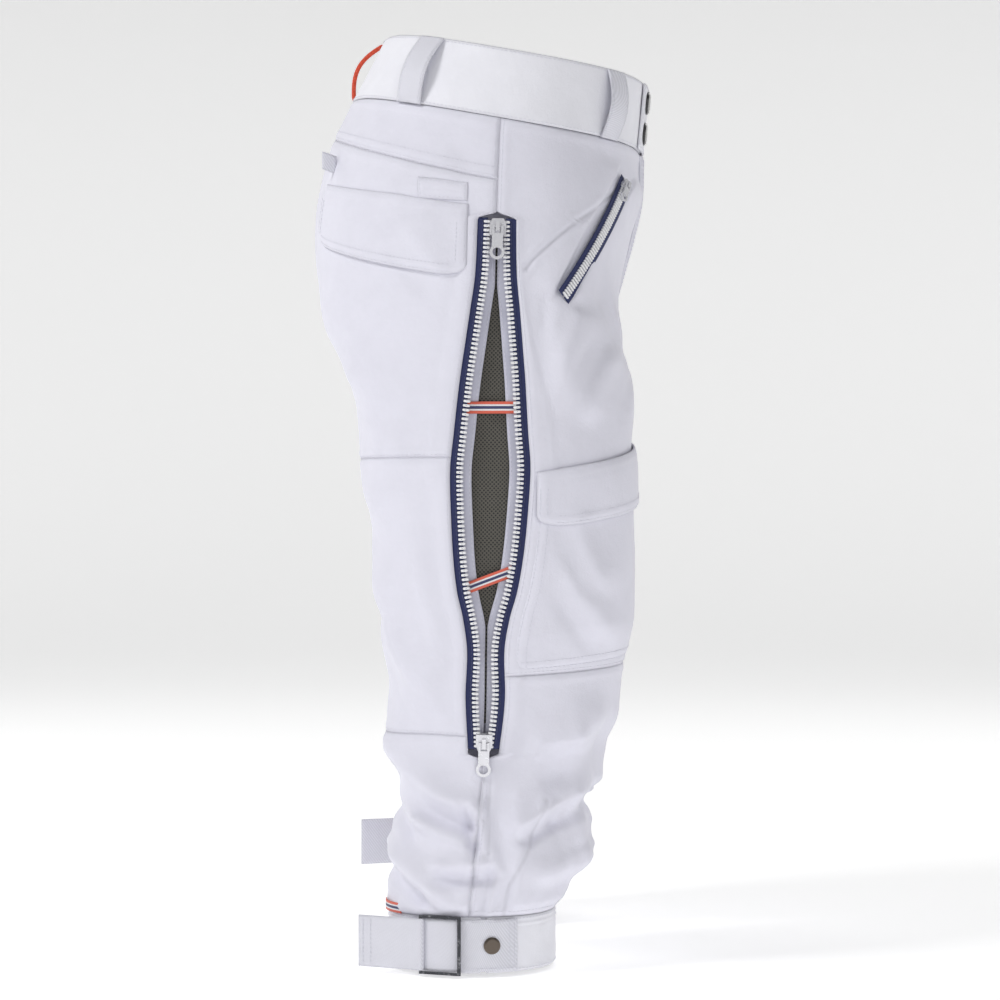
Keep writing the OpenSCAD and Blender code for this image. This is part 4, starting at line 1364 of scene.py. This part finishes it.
    def fly_point(self, z: float) -> Array:
        """A place on the fly's zip line, on the garment's middle plane."""
        u, height = np.array(0.0), np.array(z)
        p = FORM.point(Side.RIGHT, u, height) - 2.6 * FORM.normal(Side.RIGHT, u, height)
        return p * np.array([0.0, 1.0, 1.0])


# ---------------------------------------------------------------- zips
def teeth_mesh(
    name: str, path: Array, over: Array, out: Array, size: tuple[float, float, float], pitch: float
) -> bpy.types.Object:
    """Moulded teeth at even steps along a path, each a soft-edged block that reaches sideways."""
    place, side, up = resampled(path, pitch, over, out)
    up = unit(up)
    ahead = unit(np.gradient(place, axis=0))
    side = unit(np.cross(ahead, up)) * np.sign(np.einsum("kc,kc->k", np.cross(ahead, up), side))[:, None]
    block = rounded_block(size, 7, 10, 0.5)
    points, faces = repeated(*block, place, np.stack([side, np.cross(up, side), up], 1))
    return make_mesh(name, points, faces)


@dataclass
class ClosedZip:
    """A zip that stays shut: two tapes and interlocked teeth on an arc."""

    name: str
    arc: Arc
    side: Side
    tape: Webbing
    node: str | None
    pitch: float = 2.1
    tape_w: float = 12.0
    tooth: tuple[float, float, float] = (3.0, 1.45, 1.9)

    def build(self) -> None:
        """Makes the tapes and the two rows of teeth, the second half a pitch behind the first."""
        angle = np.linspace(self.arc.half, -self.arc.half, 90)
        path = self.side.mirrored(self.arc.place(angle, 0 * angle, 0 * angle))
        raised = self.side.mirrored(self.arc.place(angle, 1 + 0 * angle, 0 * angle))
        beside = self.side.mirrored(self.arc.place(angle, 0 * angle, 1 + 0 * angle))
        out, over = unit(raised - path), unit(beside - path)
        for i, way in enumerate((-1, 1)):
            half = np.full(len(path), 1.0)
            widths = (1.0 * half, self.tape_w * half) if way > 0 else (-self.tape_w * half, -1.0 * half)
            droop = path - out * 0.9
            tape = ribbon_grid(f"zip_{self.name}_tape_{i + 1}", droop, over, out, widths, 0.6, 6)
            WARDROBE.dress(tape, self.tape)
            shift = (i * self.pitch / 2) / (self.arc.radius * 2 * self.arc.half)
            part = path[int(shift * len(path)):] + over[int(shift * len(path)):] * 0.32 * self.tooth[0] * way
            n = len(part)
            teeth = teeth_mesh(
                f"zip_{self.name}_teeth_{i + 1}", part, over[-n:] * way, out[-n:], self.tooth, self.pitch
            )
            WARDROBE.dress(teeth, WARDROBE.teeth, *([self.node] if self.node and i == 0 else []))


@dataclass
class SideVent:
    """One side vent: woven tapes, chunky teeth, trim, mesh behind and the ribbons that tie it."""

    side: Side
    pitch: float = 3.4
    top: float = -107.0
    bottom: float = -513.0
    ribbons: tuple[tuple[float, float], ...] = ((-252.0, 0.0), (-384.0, 7.0))
    mesh_flat: tuple[float, float] = (0.054, 0.389)
    mesh_area: float = 0.0153

    def skin(self, z: Array, v: Array, off: Array) -> tuple[Array, Array]:
        """Points at a height and a distance behind the side seam, raised off the form."""
        z, v, off = np.broadcast_arrays(np.asarray(z, float), np.asarray(v, float), np.asarray(off, float))
        u = FORM.share_beside(z, v)
        n = FORM.normal(self.side, u, z)
        return FORM.point(self.side, u, z) + n * off[..., None], n

    def strip(self, name: str, z0: float, z1: float, near: Line, wide: Line, off: float, thick: float,
              rows: int = 200, columns: int = 6, wave: float = 0.0) -> bpy.types.Object:
        """A strip between two distances from the side seam, given by height."""
        s, t = np.meshgrid(np.linspace(0, 1, rows + 1), np.linspace(0, 1, columns + 1), indexing="ij")
        z = z0 + (z1 - z0) * s
        v = near(z) + (wide(z) - near(z)) * t
        p, n = self.skin(z, v, off + wave * np.sin(z / 8.5 + 1.4 * np.sin(z / 31)))
        faces = facing_out(p, grid_faces(rows + 1, columns + 1), n)
        made = make_mesh(
            name, p, faces, uv=np.stack([v, z], -1) * 0.001, marks={"seam": np.minimum(t, 1 - t) * 10}
        )
        thicken(made, thick, 0.0)
        return made

    def build(self, stitches: Stitches) -> None:
        """Makes the vent's pieces on this side."""
        word, first = self.side.word, self.side is Side.RIGHT
        inner, outer = lambda z: VENT.gap(z) + 2.2, lambda z: VENT.full(z) + 3
        for way, edge in ((-1, "front"), (1, "back")):
            tape = self.strip(f"vent_tape_{edge}_{word}", self.top, self.bottom, lambda z: way * inner(z),
                              lambda z: way * outer(z), -0.45, 0.9)
            WARDROBE.dress(tape, WARDROBE.navy, *on_first(first and way < 0, "vent_tapes"))
            z = np.linspace(self.top - 1.5, self.bottom + 1.5, 420)
            row, out = self.skin(z, way * (VENT.gap(z) + 2.6), 0.15)
            aside, _ = self.skin(z, way * (VENT.gap(z) + 3.6), 0.15)
            teeth = teeth_mesh(
                f"vent_teeth_{edge}_{word}", row, unit(aside - row), out, (5.6, 2.15, 3.1), self.pitch
            )
            WARDROBE.dress(teeth, WARDROBE.teeth, *on_first(first and way < 0, "vent_teeth"))
            cord_row, _ = self.skin(z, way * (VENT.gap(z) + 5.9), 0.35)
            WARDROBE.dress(tube(f"vent_cord_{edge}_{word}", cord_row[::2], 0.75, 6), WARDROBE.navy)
            trim = self.strip(f"vent_trim_{edge}_{word}", self.top - 2, self.bottom + 2,
                              lambda z: way * np.maximum(0.8, VENT.gap(z) - 5.6),
                              lambda z: way * (VENT.gap(z) + 11), -5.6, 1.0, wave=0.35)
            WARDROBE.dress(trim, WARDROBE.facing, *on_first(first and way < 0, "vent_facings"))
            edge_row, up = self.skin(z, way * np.maximum(1.6, VENT.gap(z) - 4.0), -5.0)
            stitches.run(edge_row, up)
        mesh = self.strip(f"vent_mesh_{word}", self.top - 2, -495.0, lambda z: -VENT.full(z),
                          lambda z: VENT.full(z), -7.7, 0.5, 240, 20, 0.3)
        WARDROBE.dress(mesh, WARDROBE.mesh, *on_first(first, "vent_mesh"))
        for i, (z, slope) in enumerate(self.ribbons):
            reach = float(VENT.gap(np.array(z))) + 4.6
            v = np.linspace(-reach, reach, 33)
            share = v / reach
            path, out = self.skin(z - slope * share, v, -3.6 - 0.7 * (1 - share**2))
            higher, _ = self.skin(z - slope * share + 1, v, -3.6 - 0.7 * (1 - share**2))
            ribbon = ribbon_grid(
                f"vent_ribbon_{i + 1}_{word}", path, unit(higher - path), out, (-4.6, 4.6), 0.7, 8, 0.25
            )
            WARDROBE.dress(ribbon, WARDROBE.ribbon, *on_first(first and i == 0, "vent_ribbons"))
        LOG.info("vent %s", word)


# ---------------------------------------------------------------- pockets
def rounded_low(t: Array, radius: float) -> Array:
    """How much a flap's lower edge rises at its corners: a quarter circle, as shares of the width."""
    d = np.minimum(t, 1 - t) / radius
    return 1 - np.sqrt(np.clip(1 - (1 - np.clip(d, 0, 1)) ** 2, 0, 1))


@dataclass
class Pockets:
    """One side's zipped hand pocket, flapped back pocket and flapped cargo pocket."""

    side: Side
    back_far: float = 0.84
    fold: float = 13.0

    def shape(self, s: Array, t: Array) -> Array:
        """A flap's lift: a slight crown that bends down to the shell at its free edges."""
        return 0.7 * np.sin(math.pi * np.clip(t, 0, 1)) * ease(s / 0.6)

    def back_flap(self) -> Cloth:
        """The back pocket's flap."""
        side = self.side
        near = float(VENT.edge(np.array(-150.0))) + 2.5
        top, low = slanted(-99, -89), slanted(-154, -122)
        return Cloth(f"cloth_back_flap_{side.word}", side, lambda t: top(t) + 1.5,
                     lambda t: low(t) + 11 * rounded_low(t, 0.13),
                     lambda z: FORM.share_beside(z, near + 0 * z), level(self.back_far), 44, 80,
                     lambda s, t, z, u: 1.9 + 1.0 * ease(s / 0.25) + self.shape(s, t), 1.5)

    def cargo_flap(self) -> Cloth:
        """The cargo pocket's flap."""
        top, low = slanted(-268, -303), slanted(-308, -344)
        return Cloth(f"cloth_cargo_flap_{self.side.word}", self.side, lambda t: top(t) + 1.5,
                     lambda t: low(t) - 14 * t * (1 - t) + 9 * rounded_low(t, 0.12), level(0.12),
                     lambda z: FORM.share_beside(z, -35.0 + 0 * z), 44, 90,
                     lambda s, t, z, u: 3.9 + 1.5 * ease(s / 0.3) + self.shape(s, t), 1.5)

    def cargo_pocket(self) -> Cloth:
        """The cargo pocket's own bag of cloth, sewn down at its sides and seam and full in the middle."""
        top, low = slanted(-273, -308), slanted(-438, -454)

        def bulge(s: Array, t: Array, z: Array, u: Array) -> Array:
            """Lift: it stands clear over the middle, with slack that hangs towards its lower edge."""
            full = ease((s - 0.2) / 0.36) * ease((1 - s) / 0.22) * np.sin(math.pi * np.clip(t, 0, 1)) ** 0.6
            slack = 0.9 * np.sin(6.5 * t + 3 * s) * full
            return 2.0 + 4.2 * full + slack - 1.0 * ease((s - 0.93) / 0.07)

        return Cloth(f"cloth_cargo_pocket_{self.side.word}", self.side, top, low, level(0.11),
                     lambda z: FORM.share_beside(z, -VENT.edge(z) - 3.5), 120, 110, bulge, 1.2)

    def flap(self, cloth: Cloth, node: str) -> None:
        """Makes a flap that is sewn on along its top, with double topstitching."""
        piece = WARDROBE.dress(cloth.build(), WARDROBE.shell, node, body=None)
        ends = [cloth.place(np.array(s), np.array(0.5))[0] for s in (0.04, 0.3)]
        down = unit(ends[1] - ends[0])
        axis = cloth.place(np.array(0.05), np.array(1.0))[0] - cloth.place(np.array(0.05), np.array(0.0))[0]
        across = unit(axis)
        down = unit(down - across * (down @ across))
        start = ends[0]
        tuple(start * 0.001)
        tuple((start + down * self.fold) * 0.001)
        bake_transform(piece)
        as_sheet(piece, cloth)
        seams = Stitches(f"{node}_stitches", node)
        for inset in (2.2, 7.6):
            s0 = (self.fold + 2) / cloth.size()[1]
            seams.run(*cloth.line(Edge.NEAR, inset, s0, 0.86))
            seams.run(*cloth.line(Edge.FAR, inset, s0, 0.86))
            seams.run(*cloth.line(Edge.BOTTOM, inset, 0.07, 0.93))
        WARDROBE.dress(seams.build(), WARDROBE.thread, body=node)

    def build(self, stitches: Stitches) -> None:
        """Makes this side's pockets."""
        word = self.side.word
        self.flap(self.back_flap(), f"back_flap_{word}")
        self.flap(self.cargo_flap(), f"cargo_flap_{word}")
        pocket = self.cargo_pocket()
        as_sheet(WARDROBE.dress(pocket.build(), WARDROBE.shell, f"cargo_pocket_{word}"), pocket)
        for edge in (Edge.NEAR, Edge.FAR, Edge.BOTTOM):
            for inset in (2.2, 7.8):
                stitches.run(*pocket.line(edge, inset, 0.02, 0.985))
        for cloth in (self.cargo_flap(), self.back_flap()):
            stitches.run(*cloth.line(Edge.TOP, 2.0, 0.02, 0.98, -0.2))
        self.hand()
        self.tabs(stitches)
        LOG.info("pockets %s", word)

    def hand(self) -> None:
        """The hand pocket's zip and its bag inside."""
        word, first = self.side.word, self.side is Side.RIGHT
        ClosedZip(f"hand_pocket_{word}", HAND_ZIP.arc(), self.side, WARDROBE.navy,
                  "hand_pocket_chains" if first else None, 2.7, 7.4, (4.4, 1.75, 2.3)).build()
        bag = Cloth(f"cloth_hand_pocket_bag_{word}", self.side, level(-56), level(-236), level(0.14),
                    level(0.4), 60, 40,
                    lambda s, t, z, u: -2.0 - 1.2 * np.sin(math.pi * s) * np.sin(math.pi * t), 0.6, 0.0)
        piece = WARDROBE.dress(bag.build(), WARDROBE.bag, *on_first(first, "hand_pocket_bags"))
        as_sheet(piece, bag)

    def tabs(self, stitches: Stitches) -> None:
        """The webbing tab sewn over the back pocket's top and the small one that stands at its far end."""
        word, first = self.side.word, self.side is Side.RIGHT
        tab = Cloth(f"back_pocket_tab_{word}", self.side, level(-81.5), level(-95.5),
                    lambda z: FORM.share_beside(z, 23 + 0 * z), lambda z: FORM.share_beside(z, 61 + 0 * z),
                    16, 40,
                    lambda s, t, z, u: 1.75 + 0.3 * np.sin(math.pi * s), 1.1)
        WARDROBE.dress(tab.build(), WARDROBE.shell, *on_first(first, "back_pocket_tabs"))
        for edge in (Edge.TOP, Edge.BOTTOM, Edge.NEAR, Edge.FAR):
            stitches.run(*tab.line(edge, 2.2, 0.08, 0.92))
        u, z = np.full(21, self.back_far - 0.01), np.full(21, -76.0)
        reach = np.sin(np.linspace(0, math.pi, 21))
        lean = np.cos(np.linspace(0, math.pi, 21))
        n = FORM.normal(self.side, u, z)
        across = unit(FORM.point(self.side, u + 0.01, z) - FORM.point(self.side, u - 0.01, z))
        path = FORM.point(self.side, u, z) + n * (
            1.0 + 12 * reach[:, None] ** 0.8
        ) + across * (1.1 * lean[:, None])
        up = upright(21)
        loop = ribbon_grid(
            f"back_pocket_loop_{word}", path, up, unit(np.gradient(path, axis=0)), (-7, 7), 0.9, 5
        )
        WARDROBE.dress(loop, WARDROBE.webbing)


# ---------------------------------------------------------------- cuffs
@dataclass
class Cuff:
    """One cuff: its band with a slit, the webbing strap, the buckle's tail and the snap."""

    side: Side
    centre: tuple[float, float] = (-118.0, 24.5)
    radius: float = 65.0
    height: float = 43.0
    slit: tuple[float, float] = (-8.0, 348.0)
    strap: tuple[float, float] = (-33.0, 34.0)
    strap_h: float = 39.6
    rear_bar: float = 32.0
    bar_r: float = 1.4
    bar_at: float = 70.4
    tails: tuple[float, float] = (52.0, 75.0)
    tail_lean: float = 21.0
    band_flat: tuple[float, float] = (0.405, 0.043)

    @property
    def middle(self) -> float:
        """The band's middle height."""
        return FORM.hem - 0.3 - self.height / 2 + (FORM.lift if self.side is Side.LEFT else 0.0)

    def place(self, angle: Array, height: Array, r: Array) -> tuple[Array, Array]:
        """Points at angles from straight outward towards the back, with their outward directions."""
        a = np.radians(np.asarray(angle, float))
        a, h, r = np.broadcast_arrays(a, np.asarray(height, float), np.asarray(r, float))
        out = np.stack([-np.cos(a), np.sin(a), 0 * a], -1)
        base = np.array([self.centre[0], self.centre[1], self.middle])
        return self.side.mirrored(
            base + out * r[..., None] + np.array([0, 0, 1.0]) * h[..., None]
        ), self.side.mirrored(out)

    def build(self, stitches: Stitches) -> None:
        """Makes the band, piping, strap, tail and inner ribbon."""
        word = self.side.word
        half = self.height / 2
        s, t = np.meshgrid(np.linspace(0, 1, 41), np.linspace(0, 1, 361), indexing="ij")
        angle, h = self.slit[0] + (self.slit[1] - self.slit[0]) * t, half - self.height * s
        rolled = ease((half - np.abs(h)) / 2.0)
        piping = 0.75 * bell(h - 15.2, 0.9) - 0.35 * bell(h - 17.0, 0.8) - 0.35 * bell(h - 13.4, 0.8)
        waves = 0.35 * np.sin(np.radians(angle) * 7 + h / 9) + 0.2 * np.sin(np.radians(angle) * 17 - h / 7)
        calm = 1 - ease((angle + 40) / 20) * ease((50 - angle) / 15)
        r = self.radius - 0.2 + 1.0 * rolled + piping * calm + (waves - 0.1) * calm
        p, n = self.place(angle, h, r)
        uv = np.stack([np.radians(angle) * self.radius, h], -1) * 0.001
        band = make_mesh(f"cloth_cuff_band_{word}", p, facing_out(p, grid_faces(41, 361), n), uv=uv,
                         marks={"seam": np.minimum(half - np.abs(h), 9 + 0 * h)})
        thicken(band, 1.9)
        WARDROBE.dress(band, WARDROBE.band, f"cuff_band_{word}")
        for height in (half - 2.2, -half + 2.4):
            a = np.linspace(34, 326, 300)
            stitches.run(*self.place(a, height + 0 * a, self.radius + 1.0))
        a = np.linspace(*self.strap, 60)
        path, out = self.place(a, 0 * a, self.radius + 2.1 + 0.5 * ease((a - 2) / 10))
        up = upright(60)
        w = self.strap_h / 2
        strap = ribbon_grid(f"webbing_cuff_strap_{word}", path, up, out, (-w, w), 1.4, 16, 0.0)
        WARDROBE.dress(strap, WARDROBE.webbing, f"cuff_strap_{word}")
        for k in (2, 5):
            reach = np.linspace(-w + 2, w - 2, 30)[:, None]
            stitches.run(path[k] + up[k] * reach + out[k] * 0.8, np.repeat(out[k][None], 30, 0))
        for inset in (-w + 2.2, w - 2.2):
            stitches.run(path[2:30] + up[2:30] * inset + out[2:30] * 0.8, out[2:30])
        self.tail(w)
        a = np.linspace(52, 84, 24)
        path, out = self.place(a, half + 2.6 + 0 * a, self.radius + 2.3 + 1.2 * np.sin(np.pi * (a - 52) / 32))
        peek = ribbon_grid(f"cuff_ribbon_{word}", path, upright(24), out, (-3.4, 4.4), 0.7, 6, 0.2)
        WARDROBE.dress(peek, WARDROBE.ribbon)
        LOG.info("cuff %s", word)

    def tail(self, w: float) -> None:
        """The strap's tail: it turns round the rear bar, then runs out behind the leg with a slight curl."""
        bar, _ = self.place(self.rear_bar, 0.0, self.bar_at)
        lean = math.radians(self.tail_lean)
        back = self.side.mirrored(np.array([math.sin(lean), math.cos(lean), 0.0]))
        out = self.side.mirrored(np.array([-math.cos(lean), math.sin(lean), 0.0]))
        r = self.bar_r + 0.75
        turn = np.linspace(math.radians(200), math.radians(0), 14)
        loop = bar + r * (np.cos(turn)[:, None] * out + np.sin(turn)[:, None] * -back)
        run = np.linspace(0.5, 1, 40)[:, None]
        length = self.tails[self.side is Side.LEFT]
        straight = bar + back * (length * (2 * run - 1) + 0.2) + out * (
            r - r * ease((2 * run - 1) * 5) + 0.9 * np.sin(math.pi * (2 * run - 1)) ** 2
        )
        path = np.concatenate([loop[:-1], straight])
        normal = unit(np.cross(np.gradient(path, axis=0), np.array([0, 0, 1.0])))
        normal = normal * np.sign(normal[-1] @ out)
        up = upright(len(path))
        word = self.side.word
        tail = ribbon_grid(f"webbing_strap_tail_{word}", path, up, normal, (-w, w), 1.3, 16)
        WARDROBE.dress(tail, WARDROBE.webbing, f"strap_tail_{word}", body=f"strap_tail_{word}")
        seams = Stitches(f"strap_tail_stitches_{word}", f"strap_tail_{word}")
        for way in (0.75, -0.75):
            for k in (-4, -9):
                reach = np.linspace(-w + 2.5, w - 2.5, 30)[:, None]
                seams.run(
                    path[k] + up[k] * reach + normal[k] * way, np.repeat(normal[k][None] * np.sign(way), 30, 0)
                )
        WARDROBE.dress(seams.build(), WARDROBE.thread, body=f"strap_tail_{word}")


# ---------------------------------------------------------------- metal, light and camera
def dress_metal() -> None:
    """Gives the snaps, studs, sliders, pullers and buckles, which stay as they are, their finishes."""
    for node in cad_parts:
        if "slider" in node or "puller" in node:
            WARDROBE.dress_node(node, WARDROBE.slider)
        elif node.startswith("cuff_buckle"):
            WARDROBE.dress_node(node, WARDROBE.buckle)
        elif node == "waist_snap_caps":
            WARDROBE.dress_node(node, WARDROBE.black)
        elif node == "cuff_snap_caps":
            WARDROBE.dress_node(node, WARDROBE.bronze)
        elif node.endswith("studs"):
            WARDROBE.dress_node(node, WARDROBE.stud)


@dataclass
class Studio:
    """A pale floor and backdrop, soft lights and the camera at the wearer's right."""

    floor: float = -0.6875
    aim: tuple[float, float, float] = (0.0, 0.0055, -0.3225)
    stand: tuple[float, float, float] = (-2.31, -0.055, -0.3225)
    lens: float = 100.3
    sky: float = 0.14
    lamps: tuple[tuple[str, tuple[float, float, float], float, float], ...] = (
        ("key", (-1.0, 1.7, 1.7), 32, 0.7), ("fill", (-2.0, -0.9, 0.5), 7, 1.2),
        ("front_far", (1.8, -1.4, 1.3), 12, 1.2), ("back_far", (1.6, 1.8, 1.2), 12, 1.2),
    )

    def backdrop(self) -> None:
        """A floor that curves up behind: flat, then a quarter circle, then a wall, all round the object."""
        r, w = np.meshgrid(np.linspace(0, 1, 40), np.arange(96) * 2 * math.pi / 96, indexing="ij")
        reach = 0.0005 + 7 * r
        rise = 2.5 * ease((r - 0.55) / 0.45) ** 1.3
        p = np.stack([reach * np.cos(w), reach * np.sin(w), self.floor + rise], -1) * 1000
        stage = make_mesh(
            "studio_floor", p,
            facing_out(p, grid_faces(40, 96, True), np.broadcast_to(np.array([0, 0, 1.0]), p.shape))
        )
        tree = Tree("pale_studio_paper")
        grain = tree.noise(900.0, 2.0)
        tree.set(Base_Color=tree.mix(grain, (0.88, 0.88, 0.88), (0.91, 0.91, 0.91)), Roughness=0.9)
        tree.set(Emission_Color=(1.0, 1.0, 1.0), Emission_Strength=0.5)
        stage.data.materials.append(tree.material)

    def light(self, name: str, place: tuple[float, float, float], energy: float, size: float) -> None:
        """A square soft light that faces the garment's middle."""
        lamp = bpy.data.lights.new(name, "AREA")
        lamp.energy, lamp.size = energy, size
        made = bpy.data.objects.new(name, lamp)
        bpy.context.scene.collection.objects.link(made)
        made.location = place
        made.rotation_euler = (Vector((0, 0, -0.33)) - Vector(place)).to_track_quat("-Z", "Y").to_euler()

    def build(self) -> None:
        """Sets the world, the lights and the camera."""
        self.backdrop()
        world = bpy.data.worlds.new("studio_world")
        world.use_nodes = True
        background = world.node_tree.nodes["Background"]
        background.inputs["Color"].default_value = (1, 1, 1, 1)
        background.inputs["Strength"].default_value = self.sky
        bpy.context.scene.world = world
        for lamp in self.lamps:
            self.light(*lamp)
        camera = bpy.data.objects.new("camera", bpy.data.cameras.new("camera"))
        camera.data.lens = self.lens
        camera.data.sensor_width = 36
        camera.location = self.stand
        camera.rotation_euler = (Vector(self.aim) - Vector(self.stand)).to_track_quat("-Z", "Y").to_euler()
        bpy.context.scene.collection.objects.link(camera)
        bpy.context.scene.camera = camera
        bpy.context.scene.view_settings.view_transform = "Standard"


def main() -> None:
    """Builds the garment piece by piece, then the studio."""
    logging.basicConfig(level=logging.INFO, format="%(name)s: %(message)s")
    Studio().build()
    dress_metal()
    stitches = Stitches("shell_topstitching")
    for side in Side:
        ShellPanels(side).build(stitches)
        SideVent(side).build(stitches)
        Pockets(side).build(stitches)
        Cuff(side).build(stitches)
    Waist().build(stitches)
    WARDROBE.dress(stitches.build(), WARDROBE.thread)


if __name__ == "__main__":
    main()
